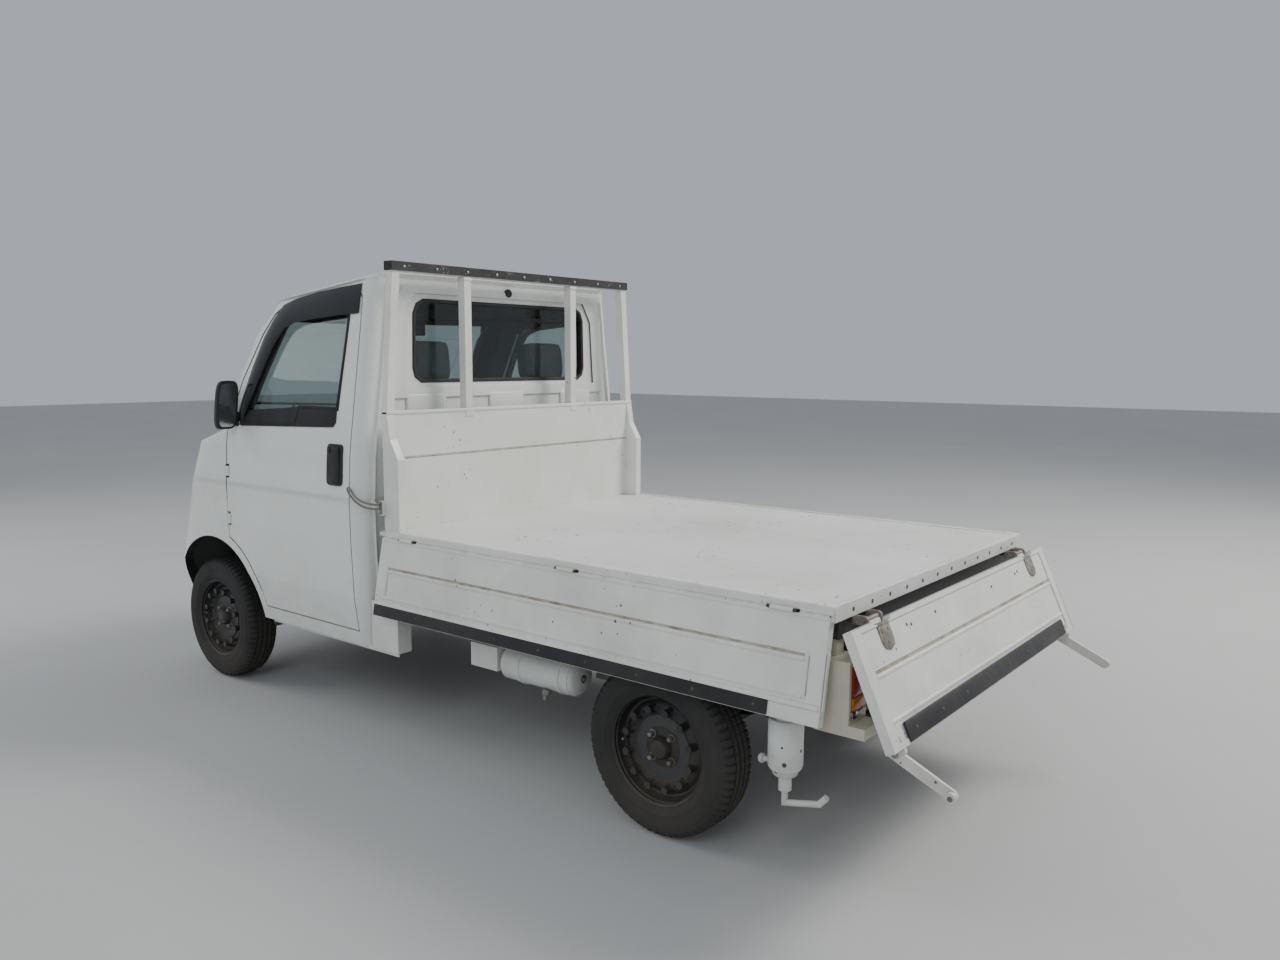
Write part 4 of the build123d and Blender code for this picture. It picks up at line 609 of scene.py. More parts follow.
# Each CAD node's finish
CAB_SHELL = "cab_front cab_roof cab_rear_wall cab_side_left cab_side_right door_left door_right"
NODE_FINISHES: dict[Finish, str] = {
    WHITE: "air_canister jack_tube jack_leg",
    CAB_WHITE: f"{CAB_SHELL} front_bumper",
    BED_WHITE: "headboard gate_left gate_right tailgate",
    DECK_WHITE: "deck",
    CREAM: "rear_lamps",
    RUBBER: "tyre_front_left tyre_front_right tyre_rear_left tyre_rear_right",
    WHEEL_BLACK: "rim_front_left rim_front_right rim_rear_left rim_rear_right",
    BLACK_TRIM: "grille door_fittings_left door_fittings_right",
    FLECKED: "headboard_guard",
    CHASSIS: (
        "cab_floor frame_rails cross_members bed_bearers fuel_tank rear_axle suspension tow_eye"
        " knuckle_left knuckle_right"
    ),
    CASTING: "engine",
    RUST: "muffler",
    CABIN_GREY: "dashboard seat_base steering_wheel",
    SEAT_CLOTH: "seats",
    GLASS: "cab_glass door_glass_left door_glass_right",
    LAMP_BOWL: "headlamps",
}


def dress_nodes(sharp: float = 28) -> None:
    """Gives every CAD node its finish, with shading that breaks at edges sharper than an angle."""
    for finish, names in NODE_FINISHES.items():
        for name in names.split():
            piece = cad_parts[name]
            piece.data.materials.clear()
            piece.data.materials.append(finish.material())
            for face in piece.data.polygons:
                face.use_smooth = True
            piece.data.set_sharp_from_angle(angle=math.radians(sharp))
            log.info("finish %s on %s", finish.name, name)
    line_cab()


def line_cab(heart: Point = (2560, 0, 1120), facing: float = 0.3, floor_z: float = 0.41) -> None:
    """Gives the cab's faces its dark lining where they look at its middle.

    Args:
        heart: the middle of the cab.
        facing: the least cosine between a face's normal and the way to the middle.
        floor_z: the height in metres from which faces are lined.
    """
    for name in CAB_SHELL.split():
        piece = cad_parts[name]
        piece.data.materials.append(LINING.material())
        for face in piece.data.polygons:
            centre = piece.matrix_world @ face.center
            inward = (metres(heart) - centre).normalized()
            turned = (piece.matrix_world.to_3x3() @ face.normal).normalized().dot(inward)
            if turned > facing and centre.z > floor_z:
                face.material_index = 1


# Mesh pieces


@dataclass
class Shape:
    """One visible piece, put together in millimetres before it becomes a mesh."""

    name: str
    body: str
    finish: Finish
    place: Matrix = field(default_factory=Matrix)
    smooth: float = 35
    bm: bmesh.types.BMesh = field(default_factory=bmesh.new)

    def _put(self, points: Iterable[Vector]) -> list[bmesh.types.BMVert]:
        """Adds vertices through the piece's own placing."""
        return [self.bm.verts.new(self.place @ Vector(p)) for p in points]

    def _round(self, made: list[bmesh.types.BMFace], radius: float, segments: int = 2) -> "Shape":
        """Rounds the edges of faces just made."""
        if radius > 0:
            edges = list({e for f in made for e in f.edges})
            bmesh.ops.bevel(
                self.bm, geom=edges, offset=radius, segments=segments, affect="EDGES", profile=0.5
            )
        return self

    def box(self, low: Point, high: Point, bevel: float = 0, segments: int = 2) -> "Shape":
        """Adds a block with rounded edges.

        Args:
            low: one corner.
            high: the opposite corner.
            bevel: radius of its edges.
            segments: facets across each rounded edge.

        Returns:
            The piece itself.
        """
        v = self._put(product(*zip(low, high)))
        faces = ((0, 1, 3, 2), (4, 6, 7, 5), (0, 4, 5, 1), (2, 3, 7, 6), (0, 2, 6, 4), (1, 5, 7, 3))
        return self._round([self.bm.faces.new([v[i] for i in f]) for f in faces], bevel, segments)

    def prism(self, outline: Sequence[Point], depth: Point, bevel: float = 0) -> "Shape":
        """Adds a flat outline pushed along a depth vector."""
        low = self._put(outline)
        high = self._put([Vector(p) + Vector(depth) for p in outline])
        made = [self.bm.faces.new(low), self.bm.faces.new(high[::-1])]
        for i, j in steps_round(len(outline)):
            made.append(self.bm.faces.new([low[i], low[j], high[j], high[i]]))
        return self._round(made, bevel)

    def rings(self, rows: Sequence[Sequence[Vector]], closed: bool = False) -> "Shape":
        """Joins rows of points into a skin.

        Args:
            rows: equal rows of points, each row a closed ring.
            closed: whether the last row joins the first; if not, the end rows are filled.

        Returns:
            The piece itself.
        """
        made = [self._put(row) for row in rows]
        for a, b in zip(made, made[1:] + made[:closed]):
            for i, j in steps_round(len(a)):
                self.bm.faces.new([a[i], a[j], b[j], b[i]])
        if not closed:
            self.bm.faces.new(made[0][::-1])
            self.bm.faces.new(made[-1])
        return self

    def turned(
        self, centre: Point, axis: Point, profile: Sequence[Pair], steps: int = 32, hollow: bool = False
    ) -> "Shape":
        """Adds a turned solid.

        Args:
            centre: a point on the axis.
            axis: the direction that the profile's distances follow.
            profile: rows of (distance along the axis, radius).
            steps: facets round the axis.
            hollow: whether the last row joins the first, as on a ring or a rim.

        Returns:
            The piece itself.
        """
        forward = Vector(axis).normalized()
        side = forward.orthogonal().normalized()
        other = forward.cross(side)
        rows = []
        for reach, radius in profile:
            middle = Vector(centre) + forward * reach
            rows.append([middle + (side * c + other * n) * max(radius, 0.05) for c, n in circle(steps)])
        return self.rings(rows, closed=hollow)

    def row(
        self, at: Point, step: Point, count: int, axis: Point, head: Sequence[Pair], sides: int
    ) -> "Shape":
        """Adds a straight row of equal turned heads.

        Args:
            at: the first head's place.
            step: the way from one to the next.
            count: how many there are.
            axis: the direction that they stand up in.
            head: the profile of one, as in turned.
            sides: facets round each.

        Returns:
            The piece itself.
        """
        for i in range(count):
            self.turned(Vector(at) + Vector(step) * i, axis, head, sides)
        return self

    def rod(self, start: Point, end: Point, radius: float, steps: int = 16) -> "Shape":
        """Adds a round bar with softened ends."""
        axis = Vector(end) - Vector(start)
        reach = axis.length
        soft = min(1, radius * 0.4, reach * 0.3)
        rows = [(0, radius - soft), (soft, radius), (reach - soft, radius), (reach, radius - soft)]
        return self.turned(start, axis, rows, steps)

    def sweep(
        self, path: Sequence[Point], section: Sequence[Pair], up: Point, closed: bool = False
    ) -> "Shape":
        """Carries a section along a path.

        Args:
            path: the points that the section follows.
            section: (sideways, upwards) points of the section.
            up: the direction that the section's second number follows.
            closed: whether the path comes back to its start.

        Returns:
            The piece itself.
        """
        points = [Vector(p) for p in path]
        rows = []
        for i, point in enumerate(points):
            before = points[i - 1] if i > 0 or closed else point
            after = points[(i + 1) % len(points)] if i + 1 < len(points) or closed else point
            forward = (after - before).normalized()
            side = forward.cross(Vector(up)).normalized()
            top = side.cross(forward)
            first, second = (point - before), (after - point)
            widen = 1
            if first.length > 1e-6 and second.length > 1e-6:
                widen = 1 / max(0.5, math.cos(first.angle(second) / 2))
            rows.append([point + side * s * widen + top * u for s, u in section])
        return self.rings(rows, closed=closed)

    def tube(self, path: Sequence[Point], radius: float, steps: int) -> "Shape":
        """Carries a circle along a smoothed path."""
        line = rounded_path([Vector(p) for p in path])
        ring = [(radius * c, radius * n) for c, n in circle(steps)]
        span = [max(p[k] for p in line) - min(p[k] for p in line) for k in range(3)]
        up = [0, 0, 0]
        up[span.index(min(span))] = 1
        return self.sweep(line, ring, tuple(up))

    def finish_piece(self, *replaced: str) -> bpy.types.Object:
        """Turns the shape into a piece on its body.

        Args:
            replaced: CAD nodes that the piece stands for.

        Returns:
            The finished Blender object.
        """
        for vert in self.bm.verts:
            vert.co = metres(vert.co)
        bmesh.ops.recalc_face_normals(self.bm, faces=self.bm.faces[:])
        mesh = bpy.data.meshes.new(self.name)
        self.bm.to_mesh(mesh)
        self.bm.free()
        for face in mesh.polygons:
            face.use_smooth = True
        mesh.set_sharp_from_angle(angle=math.radians(self.smooth))
        piece = bpy.data.objects.new(self.name, mesh)
        bpy.context.scene.collection.objects.link(piece)
        mesh.materials.append(self.finish.material())
        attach(piece, self.body)
        if replaced:
            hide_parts(*replaced)
        log.info("piece %s on %s, %d faces", self.name, self.body, len(mesh.polygons))
        return piece


def rounded_path(points: list[Vector], steps: int = 5) -> list[Vector]:
    """Rounds a path with a Catmull-Rom line through its points."""
    last = len(points) - 1
    line = []
    for i in range(last):
        a, b, c, d = (points[min(max(i + k, 0), last)] for k in (-1, 0, 1, 2))
        for t in (k / steps for k in range(steps)):
            line.append(0.5 * (
                2 * b + (c - a) * t + (2 * a - 5 * b + 4 * c - d) * t * t + (3 * b - a - 3 * c + d) * t ** 3
            ))
    return line + [points[-1]]


@dataclass
class Skin:
    """Finds the outer surface of CAD nodes, so that trim lies on them."""

    names: tuple[str, ...]
    trees: list[BVHTree] = field(default_factory=list)
    front_x: float = 4200
    side_y: float = 1500

    def __post_init__(self) -> None:
        """Builds a search tree for each node's mesh."""
        for name in self.names:
            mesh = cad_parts[name].data
            points = [v.co.copy() for v in mesh.vertices]
            self.trees.append(BVHTree.FromPolygons(points, [tuple(p.vertices) for p in mesh.polygons]))

    def hit(self, start: Point, direction: Point) -> Optional[Vector]:
        """Returns the nearest surface point, in millimetres, or None."""
        origin, way = metres(start), Vector(direction).normalized()
        hits = [tree.ray_cast(origin, way) for tree in self.trees]
        near = min((h for h in hits if h[0] is not None), key=lambda h: h[3], default=None)
        if near is None:
            return None
        x, y, z = near[0]
        return Vector((x / MM - DECK_EDGE, y / MM, z / MM))

    def side(self, x: float, z: float, default: float = 700) -> float:
        """Returns how far out the left side is at a place."""
        found = self.hit((x, self.side_y, z), (0, -1, 0))
        return found.y if found is not None else default

    def front(self, y: float, z: float) -> Optional[Vector]:
        """Returns the foremost surface point at a place, or None."""
        return self.hit((self.front_x, y, z), (-1, 0, 0))


# Wheels


@dataclass
class Wheel:
    """A tyre with tread blocks on a pressed steel rim."""

    end: str
    side: str
    axle_x: float
    track: float = 633
    axle_z: float = 263
    radius: float = 262.5
    width: float = 139
    pitches: int = 66
    hole_count: int = 12
    hole_ring: float = 119
    nut_count: int = 4
    nut_ring: float = 50

    def __post_init__(self) -> None:
        """Works out the wheel's name, its outward side and its hub."""
        self.tag = f"{self.end}_{self.side}"
        self.body = f"wheel_{self.tag}"
        self.out = SIDES[self.side]
        self.axis = (0, self.out, 0)
        self.hub = (self.axle_x, self.out * self.track, self.axle_z)

    def build(self) -> None:
        """Builds the tyre, the rim and its nuts."""
        self.tyre()
        self.rim()
        self.nuts()

    def tyre_profile(self) -> tuple[list[Pair], int, int]:
        """Returns the tyre's closed section, and where its tread starts and ends in it."""
        half, r = self.width / 2, self.radius
        wall = [
            (-52, 162), (-60, 166), (-66, 176), (-68.5, 188), (-70, 190), (-69.3, 193),
            (-half, 205), (-half - 0.3, 215), (-half + 0.6, 228), (-half + 1.6, 229),
            (-half + 2.2, 233), (-half + 5, 243),
        ]
        shoulder = [(-half + 9.5, r - 12), (-half + 16, r - 5.5), (-half + 22, r - 3)]
        tread = []
        for groove in (-33, -11.5, 11.5, 33):
            for off, depth in ((-4, 0), (-2.6, 6.5), (2.6, 6.5), (4, 0)):
                a = groove + off
                tread.append((a, r - depth - 2.6 * (abs(a) / half) ** 2))
        mirrored = [(-a, q) for a, q in reversed(wall + shoulder)]
        profile = wall + shoulder + tread + mirrored + [(50, 160.5), (-50, 160.5)]
        return profile, len(wall), len(wall) + len(shoulder) * 2 + len(tread)

    def tyre(self) -> None:
        """Builds the tyre: side walls with raised rings, and a tread of ribs and shoulder blocks."""
        profile, first, last = self.tyre_profile()
        rows = []
        for pitch in range(self.pitches):
            for share, cut in ((0, 0), (0.1, 1), (0.3, 1), (0.4, 0), (0.7, 0)):
                angle = 2 * math.pi * (pitch + share) / self.pitches
                ring = []
                for i, (a, q) in enumerate(profile):
                    if first <= i < last and abs(a) > 36:
                        q -= 5 * cut
                    elif first <= i < last and abs(a) < 30:
                        q -= 1.6 * cut
                        a += 1.6 * (0.5 - cut)
                    ring.append(Vector(self.hub) + Vector((
                        q * math.cos(angle), self.out * a, q * math.sin(angle)
                    )))
                rows.append(ring)
        shape = Shape(f"tyre_tread_{self.tag}", self.body, RUBBER, smooth=30)
        shape.rings(rows, closed=True).finish_piece(f"tyre_{self.tag}")

    def rim(self) -> None:
        """Builds the pressed rim with its round holes and domed middle."""
        lip = [(57, 159.5), (62, 166), (60, 171), (56, 170), (54.5, 164), (46, 156.5), (30, 154)]
        disc = [
            (22, 148), (20.5, 141), (27, 133), (31.5, 124), (32.5, 112), (28, 99), (17.5, 86), (15, 76),
            (18.5, 66), (27, 60), (28.5, 46), (30, 36), (44, 32), (51, 27), (54, 16), (54.5, 0),
        ]
        back = [(a - 4, q) for a, q in reversed(disc[1:])]
        barrel = [(18, 148), (-20, 146), (-48, 154), (-56, 166), (-60, 171), (-62, 166), (-57, 159.5)]
        shape = Shape(f"rim_pressing_{self.tag}", self.body, WHEEL_BLACK, smooth=32)
        shape.turned(self.hub, self.axis, lip + disc + back + barrel, 96, hollow=True)
        self.cut_holes(shape.finish_piece(f"rim_{self.tag}"))

    def cut_holes(self, piece: bpy.types.Object) -> None:
        """Cuts the ring of round holes through the disc."""
        cutter = Shape("hole_cutter", self.body, WHEEL_BLACK)
        for at in self.spread(self.hole_count, self.hole_ring):
            cutter.turned(at, self.axis, [(5, 11.5), (60, 11.5)], 20)
        tool = cutter.finish_piece()
        cut = piece.modifiers.new("holes", "BOOLEAN")
        cut.operation = "DIFFERENCE"
        cut.object = tool
        cut.solver = "EXACT"
        bpy.context.view_layer.update()
        graph = bpy.context.evaluated_depsgraph_get()
        mesh = bpy.data.meshes.new_from_object(piece.evaluated_get(graph))
        piece.modifiers.clear()
        piece.data = mesh
        bpy.data.objects.remove(tool)

    def spread(self, count: int, ring: float) -> list[Point]:
        """Returns places spread evenly on a ring round the hub, half a step from level."""
        x, y, z = self.hub
        turns = (2 * math.pi * (i + 0.5) / count for i in range(count))
        return [(x + ring * math.cos(a), y, z + ring * math.sin(a)) for a in turns]

    def nuts(self) -> None:
        """Adds the wheel nuts and the valve."""
        shape = Shape(f"wheel_nuts_{self.tag}", self.body, STEEL)
        x, y, z = self.hub
        for at in self.spread(self.nut_count, self.nut_ring):
            shape.turned(at, self.axis, [(27, 13), (30, 12), (30.5, 9.5)], 20)
            shape.turned(at, self.axis, [(30, 9.6), (43, 9.6), (46.5, 7)], 6)
        shape.rod((x + 139, y + self.out * 24, z), (x + 132, y + self.out * 52, z), 4, 10)
        shape.finish_piece()


# Cab


@dataclass
class CabTrim:
    """Seals, visor, lamps, wipers and small parts of the cab.

    Outlines hold (distance from the rear wall, height), (sideways, height) or (height, half width).
    """

    window: Outline = (
        (157, 1209), (402, 1209), (422, 1144), (807, 1130), (694, 1330), (572, 1520), (532, 1548),
        (147, 1568), (132, 1550),
    )
    window_middle: Pair = (430, 1360)
    rear_window: Outline = ((440, 1312), (466, 1330), (475, 1360), (470, 1565), (455, 1598), (425, 1614))
    screen: Outline = ((625, 1140), (645, 1165), (592, 1520), (560, 1560))
    flank: Outline = (
        (512, 728), (718, 736), (870, 738), (1040, 729), (1108, 721), (1310, 694), (1492, 669),
    )
    sash: Outline = (
        (158, 1158), (174, 1141), (500, 1131), (806, 1121), (776, 1186), (500, 1203), (405, 1211),
        (158, 1211),
    )
    visor_top: Outline = (
        (66, 1668), (200, 1659), (340, 1646), (480, 1628), (570, 1606), (628, 1556), (686, 1480),
        (752, 1362), (808, 1240), (850, 1150),
    )
    visor_low: Outline = (
        (72, 1560), (200, 1554), (340, 1545), (470, 1534), (536, 1512), (590, 1458), (640, 1388),
        (706, 1278), (762, 1180), (806, 1136),
    )
    drip_z: float = 1690
    drip_drop: float = 84
    drip_length: float = 762
    drip_half: float = 645
    handle_x: Pair = (101, 199)
    handle_z: Pair = (928, 1081)
    handle_corner: float = 16
    vent: Pair = (-13, 1662)
    pad_places: tuple[float, ...] = (-420, 0, 420)

    def __post_init__(self) -> None:
        """Finds the outer skins that the trim lies on."""
        self.doors = Skin(("door_left", "door_glass_left"))
        self.nose = Skin(("cab_front", "front_bumper", "headlamps", "grille"))
        self.shell = Skin(
            ("cab_front", "cab_roof", "cab_side_left", "cab_rear_wall", "cab_glass", "front_bumper")
        )

    def build(self) -> None:
        """Builds all of the cab's trim."""
        for side in SIDES:
            self.window_seal(side)
            self.sash_panel(side)
            self.visor(side)
            self.handle(side)
            self.mirror(side)
            self.sill_strip(side)
            self.lenses(side)
        self.rear_seal()
        self.screen_seal()
        self.rear_wall()
        self.wipers()
        self.bumper_strip()
        self.plate()

    def frame_y(self, x: float, z: float) -> float:
        """Returns the door frame's face beside a window edge, read a little outside the opening."""
        middle_x, middle_z = self.window_middle
        away = Vector((x - middle_x, z - middle_z)).normalized() * 14
        return self.doors.side(CAB_REAR_X + x + away.x, z + away.y, 690)

    def side_y(self, x: float, z: float) -> float:
        """Returns how far out the cab's left flank is, read between its outline rows.

        Args:
            x: distance from the rear wall.
            z: height.

        Returns:
            The half width there.
        """
        rows = list(self.flank) + [(self.drip_z - self.drip_drop * x / self.drip_length, self.drip_half)]
        for (z0, y0), (z1, y1) in zip(rows, rows[1:]):
            if z <= z1:
                return y0 + (y1 - y0) * (z - z0) / (z1 - z0)
        return self.drip_half

    def window_seal(self, side: str) -> None:
        """Lays a rubber seal round the door's window."""
        s = SIDES[side]
        path = [(CAB_REAR_X + x, s * self.frame_y(x, z), z) for x, z in stepped(self.window, 60)]
        shape = Shape(f"door_window_seal_{side}", f"door_{side}", SEAL)
        shape.sweep(path, lip_section(7, 12, 2, 3, 4.5), (0, s, 0), closed=True).finish_piece()

    def sash_panel(self, side: str) -> None:
        """Fills the window's low edge and rear corner with their black panel."""
        s = SIDES[side]
        points = [(CAB_REAR_X + x, s * (self.side_y(x, z) + 0.2), z) for x, z in self.sash]
        shape = Shape(f"sash_panel_{side}", f"door_{side}", BLACK_TRIM)
        shape.prism(points, (0, s * 3, 0), 1).finish_piece()

    def visor(self, side: str) -> None:
        """Bends a smoked rain visor over the window's top and front."""
        rows = []
        s = SIDES[side]
        swells = [0.4] + [1] * (len(self.visor_top) - 2) + [0.4]
        for (x0, z0), (x1, z1), swell in zip(self.visor_top, self.visor_low, swells):
            across = []
            for t, lift in ((0, 1.5), (0.15, 8), (0.5, 13), (0.85, 12), (1, 9)):
                x, z = x0 + (x1 - x0) * t, z0 + (z1 - z0) * t
                across.append((CAB_REAR_X + x, self.side_y(x, z) + lift * swell + 1, z))
            outer = [Vector((x, s * y, z)) for x, y, z in across]
            inner = [Vector((x, s * (y - 2), z)) for x, y, z in reversed(across)]
            rows.append(outer + inner)
        Shape(f"rain_visor_{side}", f"door_{side}", VISOR).rings(rows).finish_piece()

    def handle(self, side: str) -> None:
        """Builds the upright pull handle in its dished surround with round corners."""
        s = SIDES[side]
        x0, x1 = (CAB_REAR_X + x for x in self.handle_x)
        low, high = self.handle_z
        middle, corner = (low + high) / 2, self.handle_corner
        steps = [corner * (1 - math.cos(math.radians(a))) for a in (0, 30, 60, 90)]
        rows = []
        for z in [low + d for d in steps] + [middle] + [high - d for d in reversed(steps)]:
            into = max(0, corner - min(z - low, high - z))
            inset = corner - math.sqrt(max(0, corner ** 2 - into ** 2))
            y = self.doors.side(x0 + 20, z, 735)
            a, b = x0 + inset, x1 - inset
            rows.append([Vector((x, s * (y + out), z)) for x, out in (
                (a, -4), (a, 3), (a + 4, 5.5), (b - 4, 5.5), (b, 3), (b, -4),
            )])
        y = self.doors.side(x0 + 20, 1004, 735) + 4
        shape = Shape(f"door_handle_{side}", f"door_{side}", BLACK_TRIM).rings(rows)
        shape.box((x0 + 14, s * (y - 6), 940), (x0 + 58, s * (y + 9), 1069), 5, 3)
        lock = [(0, 9.5), (5, 9.5), (6, 7), (6.5, 0.5)]
        shape.turned((x1 - 20, s * (y - 2), 1058), (0, s, 0), lock, 20).finish_piece()

    def mirror(self, side: str) -> None:
        """Builds the mirror: a tapered housing, its glass, and the folding arm."""
        s = SIDES[side]
        middle_y, middle_z = 767, 1206
        rows = []
        for share, grow, tilt in (
            (0, 0.90, 0), (0.06, 0.99, 0), (0.35, 1, 0), (0.7, 0.86, 4), (0.92, 0.6, 7), (1, 0.4, 8),
        ):
            ring = []
            for c, n in circle(32):
                wide, tall = squared(c, 0.45) * 47 * grow, squared(n, 0.5) * 99 * grow
                y = middle_y - wide - tall * 0.10 - tilt
                ring.append(Vector((2717 + 50 * share, s * y, middle_z + tall)))
            rows.append(ring)
        housing = Shape(f"mirror_housing_{side}", f"door_{side}", BLACK_TRIM, smooth=50).rings(rows)
        housing.rod((2742, s * 700, 1150), (2742, s * 742, 1158), 11)
        foot_y = self.doors.side(2760, 1100, 716) + 6
        housing.box((2722, s * 700, 1118), (2792, s * foot_y, 1176), 5)
        housing.finish_piece(f"door_fittings_{side}")
        ring = []
        for c, n in circle(32):
            y = middle_y - squared(c, 0.45) * 38 - 9 * n
            ring.append(Vector((2715.5, s * y, middle_z + squared(n, 0.5) * 88)))
        glass = Shape(f"mirror_glass_{side}", f"door_{side}", REFLECTOR)
        glass.rings([ring, [p + Vector((2.5, 0, 0)) for p in ring]]).finish_piece()

    def sill_strip(self, side: str) -> None:
        """Adds the pinch flange under the sill and a drip rail over the door."""
        s = SIDES[side]
        flange = Shape(f"sill_flange_{side}", "chassis", WHITE)
        flange.box((CAB_REAR_X - 148, s * 688, 318), (2560, s * 692, 334), 1).finish_piece()
        path = []
        for k in range(13):
            x = 8 + 690 * k / 12
            z = self.drip_z - self.drip_drop * x / self.drip_length - 3
            path.append((CAB_REAR_X + x, s * (self.shell.side(CAB_REAR_X + x, z, self.drip_half) + 2), z))
        hook = [(-2, -5), (2, -5), (5, 6), (3, 8), (-1, 3)]
        Shape(f"drip_rail_{side}", "chassis", WHITE).sweep(path, hook, (0, s, 0)).finish_piece()

    def rear_seal(self) -> None:
        """Lays the thick rubber seal round the cab's rear window."""
        path = [(CAB_REAR_X, y, z) for y, z in stepped(both_sides(self.rear_window), 80)]
        shape = Shape("rear_window_seal", "chassis", SEAL)
        shape.sweep(path, lip_section(7, 14, 2, 4, 5), (-1, 0, 0), closed=True).finish_piece()

    def screen_seal(self) -> None:
        """Lays the seal round the windscreen, on the cab's own curve."""
        path = []
        for y, z in stepped(both_sides(self.screen), 70):
            found = self.shell.front(y * 1.02, z + math.copysign(8, z - 1350))
            if found is not None:
                path.append((found.x, y, z))
        shape = Shape("windscreen_seal", "chassis", SEAL)
        shape.sweep(path, lip_section(9, 9, 3, 4, 6), (1, 0, 0.6), closed=True).finish_piece()

    def rear_wall(self) -> None:
        """Adds the rear wall's round vent lamp, its pressed pads and the weld flanges of its corners."""
        y, z = self.vent
        found = self.shell.hit((1000, y, z), (1, 0, 0))
        x = found.x if found is not None else CAB_REAR_X
        vent = Shape("roof_vent_lamp", "chassis", BLACK_TRIM)
        dome = [(0, 17), (10, 17), (14, 13), (14.5, 0)]
        vent.turned((x + 6, y, z), (-1, 0, 0.1), dome, 28).finish_piece()
        pads = Shape("rear_wall_pads", "chassis", CAB_WHITE, smooth=50)
        for y in self.pad_places:
            pads.box((CAB_REAR_X - 9, y - 97, 1170), (CAB_REAR_X + 3, y + 97, 1266), 8, 3)
        pads.finish_piece()
        heights = [530] + [z for z, _ in self.flank[1:]] + [1650]
        for side, s in SIDES.items():
            path = [(CAB_REAR_X - 3, s * (self.side_y(0, z) - 62), z) for z in heights]
            section = [(-1.5, -5), (1.5, -5), (1.5, 7), (-1.5, 7)]
            flange = Shape(f"rear_corner_flange_{side}", "chassis", CAB_WHITE)
            flange.sweep(path, section, (-1, 0, 0)).finish_piece()

    def lenses(self, side: str) -> None:
        """Covers the lamp bowl with its fluted lens and the amber turn lens at the corner."""
        s = SIDES[side]
        self.nose_panel(f"headlamp_lens_{side}", FLUTED_LENS, (s * 436, s * 602), (708, 846))
        self.nose_panel(f"turn_lens_{side}_front", AMBER_LENS, (s * 607, s * 678), (712, 842))

    def nose_panel(self, name: str, finish: Finish, y_span: Pair, z_span: Pair) -> None:
        """Builds a panel that follows the curve of the cab's front.

        Args:
            name: the piece's name.
            finish: its finish.
            y_span: where it starts and ends across the truck.
            z_span: its lower and upper edge.
        """
        rows = []
        for z in even(z_span, 4):
            hits = [self.nose.front(y, z) for y in even(y_span, 10)]
            line = [p for p in hits if p is not None]
            face = [p + Vector((5.5, 0, 0)) for p in line]
            rows.append(face + [p + Vector((0.5, 0, 0)) for p in reversed(line)])
        if len({len(row) for row in rows}) == 1:
            Shape(name, "chassis", finish).rings(rows).finish_piece()

    def bumper_strip(self) -> None:
        """Lays the rubbing strip round the nose, on the joint of bumper and front panel."""
        path = []
        for turn in even((-66, 66), 40):
            a = math.radians(turn)
            way = (-math.cos(a), -math.sin(a), 0)
            found = self.nose.hit((2950 - 1500 * way[0], -1500 * way[1], 540), way)
            if found is not None:
                path.append((found.x, found.y, 530))
        section = [(-3, -17), (2.5, -17), (4.5, -12), (4.5, 12), (2.5, 17), (-3, 17)]
        Shape("bumper_strip", "chassis", BLACK_TRIM).sweep(path, section, (0, 0, 1)).finish_piece()

    def wipers(self) -> None:
        """Adds the two wipers on the windscreen's low edge."""
        shape = Shape("windscreen_wipers", "chassis", BLACK_TRIM)
        for blade in ((-520, -40), (60, 540)):
            places = zip(even(blade, 8), even((1178, 1204), 8))
            hits = [(self.shell.front(y, z), y, z) for y, z in places]
            line = [(p.x + 9, y, z) for p, y, z in hits if p is not None]
            shape.sweep(line, [(-4, -6), (4, -6), (3, 5), (-3, 5)], (1, 0, 0.5))
            x, y, _ = line[0]
            tip_x, tip_y, tip_z = line[4]
            arm = [(x + 22, y + 250, 1128), (x + 14, y + 240, 1150), (tip_x + 12, tip_y, tip_z)]
            shape.tube(arm, 5, 8)
        shape.finish_piece()

    def plate(self) -> None:
        """Adds a blank number plate on the bumper."""
        found = self.shell.front(0, 455)
        x = (found.x if found is not None else 3380) + 2
        shape = Shape("front_plate", "chassis", REFLECTOR)
        shape.box((x, -165, 410), (x + 2, 165, 495), 0.8).finish_piece()


# Load bed


